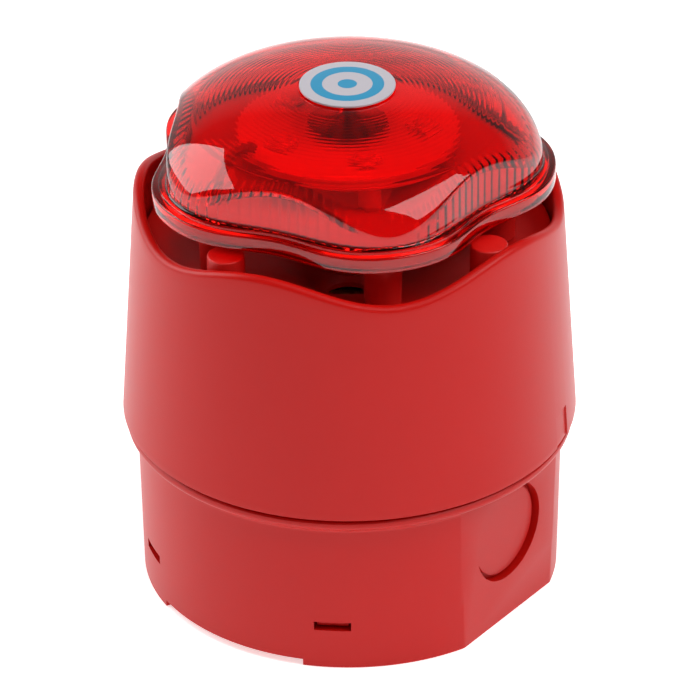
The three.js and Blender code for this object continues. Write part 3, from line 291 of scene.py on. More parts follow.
def soften(target: bpy.types.Object, width: float, angle: float = 35.0) -> None:
    """Rounds the crisp edges of an object as a mould does.

    Args:
        target: the object that is changed.
        width: width of the rounding, in millimetres.
        angle: only edges that turn by more degrees than this are rounded.
    """
    bevel = target.modifiers.new("edge", "BEVEL")
    bevel.width = width * MM
    bevel.segments = 2
    bevel.limit_method = "ANGLE"
    bevel.angle_limit = math.radians(angle)
    bevel.harden_normals = False
    settle(target)
    smooth(target.data, 30.0)


def joined(name: str, pieces: Sequence[bpy.types.Object]) -> bpy.types.Object:
    """Puts several meshes into one object, each as its own shell.

    Args:
        name: the new object's name.
        pieces: the objects to take in; they are removed.

    Returns:
        The linked object.
    """
    shape = bmesh.new()
    for piece in pieces:
        shape.from_mesh(piece.data)
        bpy.data.objects.remove(piece)
    mesh = bpy.data.meshes.new(name)
    shape.to_mesh(mesh)
    shape.free()
    smooth(mesh, CRISP)
    made = bpy.data.objects.new(name, mesh)
    bpy.context.scene.collection.objects.link(made)
    return made


# ------------------------------------------------------------------ finishes


def add_node(tree: bpy.types.NodeTree, kind: str, values: dict[str, Any] | None = None,
             links: dict[str, Any] | None = None, **settings: Any) -> bpy.types.Node:
    """Adds a node with its settings and links.

    Args:
        tree: the material's or world's node tree.
        kind: the node's Blender type.
        values: input name to its fixed value.
        links: input name to the output socket that feeds it.
        **settings: attributes of the node itself.

    Returns:
        The node.
    """
    node = tree.nodes.new(kind)
    for name, value in settings.items():
        setattr(node, name, value)
    for name, value in (values or {}).items():
        node.inputs[name].default_value = value
    for name, socket in (links or {}).items():
        tree.links.new(socket, node.inputs[name])
    return node


def blank_material(name: str) -> tuple[bpy.types.Material, bpy.types.NodeTree]:
    """A material with an empty node tree."""
    material = bpy.data.materials.new(name)
    material.use_nodes = True
    material.node_tree.nodes.clear()
    return material, material.node_tree


def tinted(tree: bpy.types.NodeTree, factor: Any, low: str, high: str) -> Any:
    """Mixes two colours by a factor socket and gives the colour socket."""
    ramp = add_node(tree, "ShaderNodeValToRGB", links={"Fac": factor})
    ramp.color_ramp.elements[0].color = linear(low)
    ramp.color_ramp.elements[1].color = linear(high)
    return ramp.outputs["Color"]


def spread(tree: bpy.types.NodeTree, factor: Any, low: float, high: float) -> Any:
    """Maps a factor from 0 and 1 to two numbers and gives the socket."""
    node = add_node(tree, "ShaderNodeMapRange", values={"To Min": low, "To Max": high},
                    links={"Value": factor})
    return node.outputs["Result"]


@dataclass(frozen=True)
class Finish:
    """A surface whose colour and gloss vary a little and whose grain is a fine bump.

    The grain is drawn as coarse as a render can show where the real one is finer.
    """

    name: str
    colour: str
    second: str
    roughness: float
    ior: float = 1.5
    metallic: float = 0.0
    grain: float = 0.35
    depth: float = 0.01
    patch: float = 12.0
    rough_spread: float = 0.04
    coat: float = 0.0
    subsurface: float = 0.0
    specular: float = 0.5

    def build(self) -> bpy.types.Material:
        """Builds the material from noise at two real scales."""
        material, tree = blank_material(self.name)
        place = add_node(tree, "ShaderNodeTexCoord").outputs["Object"]
        cloud = add_node(tree, "ShaderNodeTexNoise", links={"Vector": place},
                         values={"Scale": 1 / (self.patch * MM), "Detail": 3.0})
        grain = add_node(tree, "ShaderNodeTexNoise", links={"Vector": place},
                         values={"Scale": 1 / (self.grain * MM), "Detail": 2.0})
        bump = add_node(tree, "ShaderNodeBump", links={"Height": grain.outputs["Fac"]},
                        values={"Strength": 0.6, "Distance": self.depth * MM})
        shader = add_node(tree, "ShaderNodeBsdfPrincipled",
                          values={"Metallic": self.metallic})
        if self.metallic < 0.5:
            shader.inputs["IOR"].default_value = self.ior
        shader.inputs["Specular IOR Level"].default_value = self.specular
        shader.inputs["Coat Weight"].default_value = self.coat
        shader.inputs["Coat Roughness"].default_value = 0.08
        self.scatter(shader)
        colour = tinted(tree, cloud.outputs["Fac"], self.colour, self.second)
        rough = spread(tree, cloud.outputs["Fac"], self.roughness - self.rough_spread,
                       self.roughness + self.rough_spread)
        tree.links.new(colour, shader.inputs["Base Color"])
        tree.links.new(rough, shader.inputs["Roughness"])
        tree.links.new(bump.outputs["Normal"], shader.inputs["Normal"])
        add_node(tree, "ShaderNodeOutputMaterial", links={"Surface": shader.outputs["BSDF"]})
        return material

    def scatter(self, shader: bpy.types.Node) -> None:
        """Lets light into the skin of a material that is a little translucent."""
        if self.subsurface > 0:
            shader.inputs["Subsurface Weight"].default_value = self.subsurface
            shader.inputs["Subsurface Radius"].default_value = (1.0, 0.15, 0.1)
            shader.inputs["Subsurface Scale"].default_value = 0.8 * MM


@dataclass(frozen=True)
class ClearFinish:
    """Clear tinted polycarbonate, moulded and polished: deep colour under a hard gloss.

    Direct light passes through it, so what lies behind it is lit as it is behind a lens.
    """

    name: str
    colour: str
    roughness: float = 0.02
    ior: float = 1.5

    def build(self) -> bpy.types.Material:
        """Builds the material: clear, with a faint flow ripple from moulding."""
        material, tree = blank_material(self.name)
        place = add_node(tree, "ShaderNodeTexCoord").outputs["Object"]
        flow = add_node(tree, "ShaderNodeTexNoise", links={"Vector": place},
                        values={"Scale": 1 / (9 * MM), "Detail": 1.0})
        bump = add_node(tree, "ShaderNodeBump", links={"Height": flow.outputs["Fac"]},
                        values={"Strength": 0.25, "Distance": 0.03 * MM})
        shader = add_node(
            tree, "ShaderNodeBsdfPrincipled",
            values={"Base Color": linear(self.colour), "Roughness": self.roughness,
                    "IOR": self.ior, "Transmission Weight": 1.0},
            links={"Normal": bump.outputs["Normal"]})
        through = add_node(tree, "ShaderNodeBsdfTransparent",
                           values={"Color": linear(self.colour)})
        path = add_node(tree, "ShaderNodeLightPath")
        mixed = add_node(tree, "ShaderNodeMixShader",
                         links={0: path.outputs["Is Shadow Ray"], 1: shader.outputs["BSDF"],
                                2: through.outputs["BSDF"]})
        add_node(tree, "ShaderNodeOutputMaterial", links={"Surface": mixed.outputs["Shader"]})
        return material


@dataclass(frozen=True)
class PrintedFinish:
    """White film with a plain blue ring round a dot, printed flat under a thin gloss."""

    name: str = "printed_film"
    paper: str = "#B9B4BB"
    ink: str = "#2F8DB4"
    dot: float = 1.9
    ring: tuple[float, float] = (5.0, 7.3)
    reach: float = 10.0

    def build(self) -> bpy.types.Material:
        """Builds the material from the distance to the middle of the label."""
        material, tree = blank_material(self.name)
        place = add_node(tree, "ShaderNodeTexCoord").outputs["Object"]
        flat = add_node(tree, "ShaderNodeVectorMath", links={0: place}, operation="MULTIPLY")
        flat.inputs[1].default_value = (1.0, 1.0, 0.0)
        far = add_node(tree, "ShaderNodeVectorMath", links={0: flat.outputs["Vector"]},
                       operation="LENGTH")
        share = add_node(tree, "ShaderNodeMapRange", links={"Value": far.outputs["Value"]},
                         values={"From Max": self.reach * MM})
        ramp = add_node(tree, "ShaderNodeValToRGB", links={"Fac": share.outputs["Result"]})
        ramp.color_ramp.interpolation = "CONSTANT"
        ramp.color_ramp.elements[0].color = linear(self.ink)
        ramp.color_ramp.elements[1].position = self.dot / self.reach
        ramp.color_ramp.elements[1].color = linear(self.paper)
        for radius, colour in ((self.ring[0], self.ink), (self.ring[1], self.paper)):
            ramp.color_ramp.elements.new(radius / self.reach).color = linear(colour)
        fibre = add_node(tree, "ShaderNodeTexNoise", links={"Vector": place},
                         values={"Scale": 1 / (0.5 * MM)})
        bump = add_node(tree, "ShaderNodeBump", links={"Height": fibre.outputs["Fac"]},
                        values={"Strength": 0.2, "Distance": 0.01 * MM})
        shader = add_node(
            tree, "ShaderNodeBsdfPrincipled", values={"Roughness": 0.3, "IOR": 1.5},
            links={"Base Color": ramp.outputs["Color"], "Normal": bump.outputs["Normal"]})
        add_node(tree, "ShaderNodeOutputMaterial", links={"Surface": shader.outputs["BSDF"]})
        return material


# ABS, injection moulded in a fine-sparked tool: solid red with a satin bloom at the edges.
SATIN_RED = Finish("abs_satin_red", "#B50D08", "#BC100B", 0.36, ior=1.53, grain=0.5,
                   depth=0.012, patch=30, rough_spread=0.02, specular=0.21)
# The same ABS inside the head, less polished and always in shade.
INNER_RED = Finish("abs_inner_red", "#C4120D", "#CC1712", 0.5, ior=1.53, grain=0.6,
                   depth=0.015, patch=25)
# Polycarbonate, polished: it shows what lies under it, deep red where it is thick.
CLEAR_RED = ClearFinish("polycarbonate_clear_red", "#E9100A")
# Polyester film, screen printed.
LABEL_FILM = PrintedFinish()
# PBT, glass filled: dark grey with a dull, slightly mottled skin.
GREY_PBT = Finish("pbt_dark_grey", "#34373A", "#404447", 0.55, grain=0.3, depth=0.02, patch=4)
# Nylon, moulded: warm white and a little waxy.
WHITE_NYLON = Finish("nylon_white", "#EDEAE2", "#F6F4EE", 0.45, grain=0.4, patch=5,
                     subsurface=0.2)
# EPDM rubber, moulded: black, dry and matt.
BLACK_EPDM = Finish("epdm_black", "#161617", "#232325", 0.85, grain=0.25, depth=0.03, patch=3)
# Glass epoxy under a green solder mask: the weave shows faintly through the gloss.
GREEN_MASK = Finish("solder_mask_green", "#123F27", "#1D5C38", 0.3, grain=0.7, depth=0.01,
                    patch=1.2, coat=0.4)
# Glass epoxy under a white solder mask, which throws the light up into the lens.
WHITE_MASK = Finish("solder_mask_white", "#E9E9E4", "#F7F7F3", 0.3, grain=0.7, patch=2,
                    coat=0.4)
# Ferrite, pressed and sintered: charcoal, with a fine dull grain.
SINTERED = Finish("ferrite_sintered", "#232223", "#373536", 0.65, grain=0.2, depth=0.03,
                  patch=1.5)
# Steel, zinc plated: pale, slightly blue and softly streaked.
ZINC_STEEL = Finish("steel_zinc_plated", "#B4B7BC", "#CBCDD0", 0.32, metallic=1.0, grain=0.3,
                    patch=2, rough_spread=0.08)
# Phosphor bronze strip, rolled bright.
BRONZE_STRIP = Finish("phosphor_bronze", "#B8854A", "#D0A062", 0.28, metallic=1.0, grain=0.3,
                      patch=2, rough_spread=0.06)
# Polyimide film, hot pressed: amber and glassy.
AMBER_FILM = Finish("polyimide_film", "#B5813C", "#C99A55", 0.28, grain=0.4, patch=3)
# PVC sleeve, extruded: soft red sheen.
RED_PVC = Finish("pvc_red", "#9E1A1A", "#AE2222", 0.45, grain=0.3, patch=2)
# Aluminium, vacuum deposited on a moulding: a bright mirror.
MIRROR_METAL = Finish("vacuum_aluminium", "#E3E3E4", "#EFEFEF", 0.24, metallic=1.0,
                      grain=0.6, depth=0.004, patch=4, rough_spread=0.03)
# Silicone over phosphor: matt yellow in the middle of each light source.
PHOSPHOR = Finish("phosphor_yellow", "#E8C33A", "#F2D560", 0.4, grain=0.15, depth=0.02,
                  patch=1.0)


class Paints:
    """Builds each finish once and gives its material."""

    def __init__(self) -> None:
        """Starts with no materials."""
        self.made: dict[str, bpy.types.Material] = {}

    def get(self, finish: Finish | ClearFinish | PrintedFinish) -> bpy.types.Material:
        """Gives the material of a finish, building it the first time."""
        if finish.name not in self.made:
            self.made[finish.name] = finish.build()
        return self.made[finish.name]

    def dress(self, piece: bpy.types.Object, finish: Finish | ClearFinish | PrintedFinish) -> None:
        """Gives a whole piece one finish."""
        piece.data.materials.clear()
        piece.data.materials.append(self.get(finish))
        piece.data.polygons.foreach_set("material_index", [0] * len(piece.data.polygons))


# ------------------------------------------------------------------ shared shape of the lobes


@dataclass
class Lobes:
    """The five-lobed outline that the rim, the flange and the lens share."""

    count: int = 5
    azimuth: float = 50.2
    wall_mean: float = 36.5
    wall_wave: float = 2.35
    flange_mean: float = 39.4
    flange_wave: float = 2.45
    flange_sharpness: float = 0.35

    def wave(self, azimuth: float) -> float:
        """One at a lobe and minus one at a valley."""
        return math.cos(self.count * math.radians(azimuth - self.azimuth))

    def wall(self, azimuth: float) -> float:
        """Radius of the lens wall."""
        return self.wall_mean + self.wall_wave * self.wave(azimuth)

    def flange(self, azimuth: float) -> float:
        """Radius of the flange."""
        wave = self.wave(azimuth)
        sharp = self.flange_sharpness * (2 * wave * wave - 1)
        return self.flange_mean + self.flange_wave * wave - sharp

    def centres(self) -> list[float]:
        """Azimuths of the lobes."""
        return [self.azimuth + 360 * i / self.count for i in range(self.count)]


# ------------------------------------------------------------------ base


@dataclass
class Base:
    """The deep base: skirt with lip, flats, knock-outs and snap windows."""

    paints: Paints
    radius: float = 43.1
    draft: float = 0.015
    wall: float = 2.4
    lip_radius: float = 45.9
    lip_height: float = 1.8
    lip_chamfer: float = 1.2
    lip_round: float = 0.8
    collar_radius: float = 41.0
    collar_wall: float = 3.1
    collar_height: float = 9.2
    flat: float = 40.4
    knockout_radius: float = 10.7
    knockout_drop: float = 1.1
    groove_width: float = 0.9
    groove_depth: float = 2.0
    knockout_height: float = 20.3
    relief: float = 1.4
    relief_half_angle: float = 24.3
    window_azimuth: float = 32.4
    window_width: float = 7.5
    window_height: float = 2.0
    window_z: float = 9.9
    height: float = field(init=False)

    def __post_init__(self) -> None:
        """Reads the height of the lip from the frame."""
        self.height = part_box("base_skirt")[1].z / MM - self.collar_height

    def outer(self, z: float) -> float:
        """Outer radius at a height."""
        return self.radius + self.draft * z

    def build(self) -> bpy.types.Object:
        """Builds the skirt and puts it in place of the frame's one."""
        skirt = self.blank()
        for side in (-1, 1):
            carve(skirt, self.beyond_flat(side), Cut.AWAY)
        carve(skirt, self.hollow(), Cut.AWAY)
        for side in (-1, 1):
            carve(skirt, self.knockout(side), Cut.AWAY)
        for middle in (0, 180):
            carve(skirt, self.rim_relief(middle), Cut.AWAY)
            for side in (-1, 1):
                carve(skirt, self.window(middle + side * self.window_azimuth), Cut.AWAY)
        soften(skirt, 0.22)
        skirt.name = "base_skirt_shell"
        self.paints.dress(skirt, SATIN_RED)
        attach(skirt, "base")
        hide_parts("base_skirt")
        return skirt

    def blank(self) -> bpy.types.Object:
        """The solid outside of the skirt, with its rounded lip and the collar."""
        chamfer = self.height - self.lip_height - self.lip_chamfer
        side = self.outer(chamfer)
        lip, soft, top = self.lip_radius, self.lip_round, self.height
        profile = [(self.outer(0), 0.0)]
        profile += [(self.outer(z), z) for z in steps(9, 2.0, chamfer - 1.2)]
        profile += corner((side, chamfer - 0.8), (side, chamfer), (side + 0.8, chamfer + 0.4))
        profile += corner((lip - soft, chamfer + self.lip_chamfer - 0.25),
                          (lip, chamfer + self.lip_chamfer),
                          (lip, chamfer + self.lip_chamfer + soft))
        profile += corner((lip, top - soft), (lip, top), (lip - soft, top))
        profile += [(self.collar_radius, top), (self.collar_radius, top + self.collar_height)]
        return turned("skirt_blank", profile, Ends.POLES, columns=240)

    def beyond_flat(self, side: int) -> bpy.types.Object:
        """What lies outside a conduit flat, below the lip."""
        reach = self.lip_radius + 4
        chamfer = self.height - self.lip_height - self.lip_chamfer
        low, high = sorted((side * self.flat, side * reach))
        return block("beyond_flat", (low, -reach, -2), (high, reach, chamfer))

    def hollow(self) -> bpy.types.Object:
        """The inside of the skirt, which is narrower behind the flats."""
        inner = self.radius - self.wall
        neck = self.collar_radius - self.collar_wall
        step = self.height - self.lip_height - self.lip_chamfer - self.collar_wall
        top = self.height + self.collar_height + 1
        profile = [(inner, -1), (inner, step), (neck, step + 3), (neck, top)]
        inside = turned("skirt_hollow", profile, Ends.POLES, columns=144)
        half = self.flat - self.wall
        carve(inside, block("slab", (-half, -BEYOND, -2), (half, BEYOND, top + 1)), Cut.KEEP)
        return inside

    def knockout(self, side: int) -> bpy.types.Object:
        """The lowered disc of a knock-out with the deeper break-out ring round it."""
        radius, groove = self.knockout_radius, self.groove_depth
        island = radius - self.groove_width
        floor = groove - self.knockout_drop
        profile = [(island * 0.5, floor), (island - 0.15, floor), (island, floor - 0.15)]
        profile += [(island, 0), (radius, 0), (radius, groove + 1)]
        plug = turned("knockout", profile, Ends.POLES, columns=96)
        place = Matrix.Translation(
            Vector((side * (self.flat - groove), 0, self.knockout_height)) * MM)
        plug.data.transform(place @ Matrix.Rotation(side * math.pi / 2, 4, "Y"))
        return plug

    def rim_relief(self, middle: float) -> bpy.types.Object:
        """The shallow cut that lifts the rim off the wall between two pads."""
        arc = [middle + a for a in steps(13, -self.relief_half_angle, self.relief_half_angle)]
        points = [polar(self.radius + 3, a, 0) for a in arc]
        points += [polar(self.radius - self.wall - 3, a, 0) for a in reversed(arc)]
        return prism("rim_relief", [(p.x / MM, p.y / MM) for p in points], -2, self.relief)

    def window(self, azimuth: float) -> bpy.types.Object:
        """The slot that a snap arm of the mounting plate clicks into."""
        half = self.window_width / 2
        low, high = self.window_z - self.window_height / 2, self.window_z + self.window_height / 2
        tool = block("window", (-half, -self.radius - 3, low), (half, -self.radius + 5, high))
        tool.data.transform(Matrix.Rotation(math.radians(azimuth), 4, "Z"))
        return tool


@dataclass
class MountingPlate:
    """The plate on the wall: its snap noses sit in the shade of the base's windows."""

    paints: Paints
    base: Base
    thickness: float = 2.5
    running: float = 0.4
    hole_radius: float = 9.0
    slot_circle: float = 30.15
    slot_width: float = 4.6
    slot_length: float = 8.0
    arm_thickness: float = 1.8
    arm_width: float = 6.4
    nose_depth: float = 1.5
    pillars: tuple[float, ...] = (-9.2, 9.2)
    pillar_front: float = 17.4
    pillar_depth: float = 7.3
    pillar_top: float = 11.7

    def build(self) -> bpy.types.Object:
        """Builds the plate and puts it in place of the frame's one."""
        radius = self.base.radius - self.base.wall - self.running
        plate = disc_at("mounting_plate_body", radius, 0, 0, 0.0, self.thickness, columns=144)
        half = self.base.flat - self.base.wall - self.running
        carve(plate, block("slab", (-half, -BEYOND, -1), (half, BEYOND, 4)), Cut.KEEP)
        carve(plate, disc_at("collar", self.hole_radius + 1.5, 0, 0, 0.0, 4.0), Cut.ADD)
        carve(plate, disc_at("hole", self.hole_radius, 0, 0, -1.0, 6.0), Cut.AWAY)
        for middle in (0, 180):
            carve(plate, self.slot(middle), Cut.AWAY)
        soften(plate, 0.25)
        arms = [self.arm(middle + side * self.base.window_azimuth, radius)
                for middle in (0, 180) for side in (-1, 1)]
        stands = [self.pillar(x) for x in self.pillars]
        whole = joined("mounting_plate_body", [plate] + arms + stands)
        self.paints.dress(whole, SATIN_RED)
        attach(whole, "base")
        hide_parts("mounting_plate")
        return whole

    def slot(self, azimuth: float) -> bpy.types.Object:
        """A long hole for a fixing screw."""
        half, reach = self.slot_width / 2, (self.slot_length - self.slot_width) / 2
        arc = [math.radians(a) for a in range(0, 181, 15)]
        points = [(half * math.cos(a), reach + half * math.sin(a)) for a in arc]
        points += [(-half * math.cos(a), -reach - half * math.sin(a)) for a in arc]
        tool = prism("slot", [(x, y - self.slot_circle) for x, y in points], -1, 6)
        tool.data.transform(Matrix.Rotation(math.radians(azimuth), 4, "Z"))
        return tool

    def arm(self, azimuth: float, radius: float) -> bpy.types.Object:
        """A snap arm with its nose in a window."""
        half, inner = self.arm_width / 2, radius - self.arm_thickness
        base = self.base
        nose = base.outer(base.window_z) - self.nose_depth
        low = base.window_z - base.window_height / 2 + 0.3
        high = base.window_z + base.window_height / 2 - 0.3
        side = [(-radius, self.thickness + SHELL_GAP), (-inner, self.thickness + SHELL_GAP),
                (-inner, high + 1.2), (-inner - 0.4, high + 1.6), (-radius, high + 1.6),
                (-radius, high), (-nose + 0.3, high), (-nose, high - 0.3), (-nose, low),
                (-radius, low)]
        count = len(side)
        vertices = [Vector((x, y, z)) * MM for x in (-half, half) for y, z in side]
        faces = [(i, (i + 1) % count, count + (i + 1) % count, count + i) for i in range(count)]
        faces += [tuple(range(count))[::-1], tuple(range(count, 2 * count))]
        arm = mesh_object("arm", vertices, faces)
        soften(arm, 0.15)
        arm.data.transform(Matrix.Rotation(math.radians(azimuth), 4, "Z"))
        return arm

    def pillar(self, x: float) -> bpy.types.Object:
        """A pillar that carries the terminal block."""
        y = self.pillar_front
        pillar = block("pillar", (x - 2, y, self.thickness + SHELL_GAP),
                       (x + 2, y + self.pillar_depth, self.pillar_top))
        soften(pillar, 0.3)
        return pillar


# ------------------------------------------------------------------ housing


@dataclass
class Housing:
    """The tapered sleeve of the head, with the wavy rim and the lug mark."""

    paints: Paints
    lobes: Lobes
    radius: float = 46.5
    draft: float = 0.07
    wall: float = 2.3
    wave: float = 2.5
    mark_azimuth: float = 105.5
    mark_width: float = 6.0
    mark_height: float = 7.0
    mark_depth: float = 0.35
    low: float = field(init=False)
    rim: float = field(init=False)

    def __post_init__(self) -> None:
        """Reads the sleeve's two ends from the frame."""
        low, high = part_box("housing")
        self.low = low.z / MM
        self.rim = high.z / MM - self.wave

    def outer(self, z: float) -> float:
        """Outer radius at a height."""
        return self.radius - self.draft * (z - self.low)

    def rim_at(self, azimuth: float) -> float:
        """Height of the rim, which dips at each lobe."""
        return self.rim - self.wave * self.lobes.wave(azimuth)

    def build(self) -> bpy.types.Object:
        """Builds the sleeve and puts it in place of the frame's one."""
        sleeve = swept("housing_sleeve", self.azimuths(), self.sections(), Ends.RING, sharp=28)
        self.paints.dress(sleeve, SATIN_RED)
        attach(sleeve, "head")
        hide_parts("housing")
        return sleeve

    def azimuths(self) -> list[float]:
        """Columns, with close pairs at the edges of the mark."""
        half = self.half_mark()
        edges = [self.mark_azimuth + s * (half + e) for s in (-1, 1) for e in (-0.07, 0.07)]
        even = [a for a in even_azimuths(240)
                if all(abs(a - edge) > 0.3 for edge in edges)]
        return sorted(even + edges)

    def half_mark(self) -> float:
        """Half of the mark's width as an angle in degrees."""
        return math.degrees(self.mark_width / 2 / self.radius)

    def sections(self) -> list[Section]:
        """The profile from the inside foot, round the foot, up, over the rim and down."""
        foot, soft = self.low, 0.45
        around_foot = corner((-soft, 0.0), (0.0, 0.0), (0.0, soft))
        sections = [self.fixed(-self.wall, foot), self.fixed(-1.0, foot)]
        sections += [self.fixed(dr, foot + dz) for dr, dz in around_foot]
        top = self.low + self.mark_height
        for z in (foot + 1.5, foot + 4, top - 0.06, top + 0.06, foot + 12):
            sections.append(self.fixed(0.0, z))
        half = self.wall / 2
        sections += [self.towards_rim(0.0, share, half) for share in steps(16, 0.12, 1.0)]
        for turn in steps(9, 0, math.pi)[1:-1]:
            sections.append(self.over_rim(half * (math.cos(turn) - 1), half * math.sin(turn), half))
        sections += [self.towards_rim(-self.wall, share, half) for share in steps(8, 1.0, 0.1)]
        sections.append(self.fixed(-self.wall, foot + 3))
        return sections

    def fixed(self, inwards: float, z: float) -> Section:
        """A ring at one height, sunk where it crosses the mark."""
        def section(azimuth: float) -> tuple[float, float]:
            """Radius and height at an azimuth."""
            sunk = abs(azimuth - self.mark_azimuth) < self.half_mark()
            sunk = sunk and inwards > -1.5 and z < self.low + self.mark_height
            return self.outer(z) + inwards - (self.mark_depth if sunk else 0.0), z
        return section

    def towards_rim(self, inwards: float, share: float, below: float) -> Section:
        """A ring part of the way from the fixed rings up to the rim."""
        def section(azimuth: float) -> tuple[float, float]:
            """Radius and height at an azimuth."""
            z = blend(self.low + 12, self.rim_at(azimuth) - below, share)
            return self.outer(z) + inwards, z
        return section

    def over_rim(self, inwards: float, rise: float, below: float) -> Section:
        """A ring on the rounded top of the rim."""
        def section(azimuth: float) -> tuple[float, float]:
            """Radius and height at an azimuth."""
            z = self.rim_at(azimuth) - below + rise
            return self.outer(z) + inwards, z
        return section


# ------------------------------------------------------------------ lens


@dataclass
class Lens:
    """The clear red cover: dome, lobed wall, stepped flange, inner rings and flutes."""

    paints: Paints
    lobes: Lobes
    wall: float = 2.2
    dome_radius: float = 39.6
    dome_drop: float = 19.8
    dome_power: float = 2.72
    flange_height: float = 3.9
    bead_inset: float = 1.5
    bead_drop: float = 0.55
    pocket_height: float = 3.6
    recess_radius: float = 9.9
    recess: float = 0.35
    rings: tuple[float, float] = (11.0, 30.0)
    ring_pitch: float = 0.95
    ring_depth: float = 0.03
    flutes_per_lobe: int = 20
    flute_depth: float = 0.26
    flute_fade: float = 2.2
    columns_per_flute: int = 6
    foot: float = field(init=False)
    apex: float = field(init=False)

    def __post_init__(self) -> None:
        """Reads the lens's two ends from the frame."""
        low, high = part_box("lens")
        self.foot = low.z / MM
        self.apex = high.z / MM

    def dome(self, radius: float, inset: float = 0.0) -> float:
        """Height of the outer dome, or of one that lies inset below it."""
        share = min(0.9995, radius / (self.dome_radius - inset))
        fall = 1 - (1 - share**self.dome_power) ** (1 / self.dome_power)
        return self.apex - inset - self.dome_drop * fall

    def build(self) -> bpy.types.Object:
        """Builds the lens and puts it in place of the frame's one."""
        columns = self.lobes.count * self.flutes_per_lobe * self.columns_per_flute
        sections = self.outside() + self.flange() + self.inside()
        lens = swept("lens_cover", even_azimuths(columns), sections, Ends.POLES, sharp=40)
        self.paints.dress(lens, CLEAR_RED)
        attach(lens, "head")
        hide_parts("lens")
        return lens

    def outside(self) -> list[Section]:
        """From the label's recess over the dome and down the lobed wall."""
        floor = self.apex - self.recess
        sections: list[Section] = [
            lambda _, share=share: (self.recess_radius * share, floor)
            for share in (0.4, 0.8, 1.0)
        ]
        soft = 0.6
        sections += [self.on_dome(share, soft) for share in steps(30)]
        sections += [self.on_shoulder(t, soft) for t in (0.25, 0.5, 0.75, 1.0)]
        sections += [self.on_wall(share, soft) for share in steps(8)[1:]]
        return sections

    def on_dome(self, share: float, soft: float) -> Section:
        """A ring on the dome between the label and the shoulder."""
        def section(azimuth: float) -> tuple[float, float]:
            """Radius and height at an azimuth."""
            edge = self.lobes.wall(azimuth) - soft
            radius = blend(self.recess_radius, edge, share)
            return radius, self.dome(radius)
        return section

    def shoulder(self, azimuth: float, soft: float) -> Loop:
        """The three points that round the edge between dome and wall."""
        edge = self.lobes.wall(azimuth)
        start = (edge - soft, self.dome(edge - soft))
        tip = (edge, self.dome(edge) + 0.15)
        return [start, tip, (edge, self.dome(edge) - soft)]

    def on_shoulder(self, t: float, soft: float) -> Section:
        """A ring on the rounded edge between dome and wall."""
        def section(azimuth: float) -> tuple[float, float]:
            """Radius and height at an azimuth."""
            return on_curve(*self.shoulder(azimuth, soft), t)
        return section

    def on_wall(self, share: float, soft: float) -> Section:
        """A ring on the wall, down to its fillet on the flange."""
        def section(azimuth: float) -> tuple[float, float]:
            """Radius and height at an azimuth."""
            top = self.dome(self.lobes.wall(azimuth)) - soft
            bottom = self.foot + self.flange_height + 0.5
            return self.lobes.wall(azimuth) + 0.1 * share, blend(top, bottom, share)
        return section

    def flange(self) -> list[Section]:
        """The fillet, the raised step, the rounded edge and the underside."""
        top = self.foot + self.flange_height
        ledge = top - self.bead_drop
        wall, rim = self.lobes.wall, self.lobes.flange
        inset = self.bead_inset
        edge = [(rim, dr, z) for dr, z in corner((-0.5, ledge), (0.0, ledge), (0.0, ledge - 0.5))]
        under = [(rim, dr, z) for dr, z in corner((0.0, self.foot + 0.4), (0.0, self.foot),
                                                  (-0.4, self.foot))]
        places = [(wall, 0.22, top + 0.18), (wall, 0.5, top)]
        places += [(rim, -inset - 0.12, top), (rim, -inset, top - 0.08),
                   (rim, -inset + 0.1, ledge + 0.06), (rim, -inset + 0.22, ledge)]
        places += edge + [(rim, 0.0, blend(ledge, self.foot, 0.5))] + under
        pocket = self.foot + self.pocket_height
        places += [(rim, -self.wall, self.foot), (rim, -self.wall, pocket)]
        return [lambda a, f=f, dr=dr, z=z: (f(a) + dr, z) for f, dr, z in places]

    def flute(self, azimuth: float) -> float:
        """How far the scalloped ribs stand in from the inner wall."""
        turn = math.radians(azimuth) * self.lobes.count * self.flutes_per_lobe / 2
        return self.flute_depth * math.sin(turn) ** 2

    def inside(self) -> list[Section]:
        """Up the fluted inner wall and along the ringed inner dome to the axis."""
        sections = [self.on_inner_wall(share) for share in steps(7)]
        sections += [self.on_inner_shoulder(share) for share in steps(12)[1:]]
        first, last = self.rings
        count = round((last - first) / self.ring_pitch)
        for ring in reversed(range(count)):
            start = first + ring * self.ring_pitch
            for share in (0.95, 0.65, 0.35, 0.08):
                sections.append(self.on_ring(start + share * self.ring_pitch, share))
        sections += [self.on_ring(radius, 0.0) for radius in (first - 0.4, 8.0, 5.0, 2.0)]
        return sections

    def on_inner_wall(self, share: float) -> Section:
        """A ring on the fluted inner wall."""
        def section(azimuth: float) -> tuple[float, float]:
            """Radius and height at an azimuth."""
            radius = self.lobes.wall(azimuth) - self.wall
            top = self.dome(radius, self.wall)
            low = self.foot + self.pocket_height
            return radius - self.flute(azimuth), blend(low, top, share)
        return section

    def on_inner_shoulder(self, share: float) -> Section:
        """A ring where the flutes die out, between the wall and the outermost ring."""
        def section(azimuth: float) -> tuple[float, float]:
            """Radius and height at an azimuth."""
            edge = self.lobes.wall(azimuth) - self.wall
            radius = blend(edge, self.rings[1], share**1.4)
            fade = max(0.0, 1 - (edge - radius) / self.flute_fade) ** 0.5
            sink = self.flute(azimuth) * fade
            return radius - sink, self.dome(radius, self.wall) - 0.4 * sink
        return section

    def on_ring(self, radius: float, share: float) -> Section:
        """A ring on the inner dome, with the step of the circular prisms."""
        z = self.dome(radius, self.wall) - self.ring_depth * share
        return lambda _: (radius, z)


# ------------------------------------------------------------------ what shows under the lens


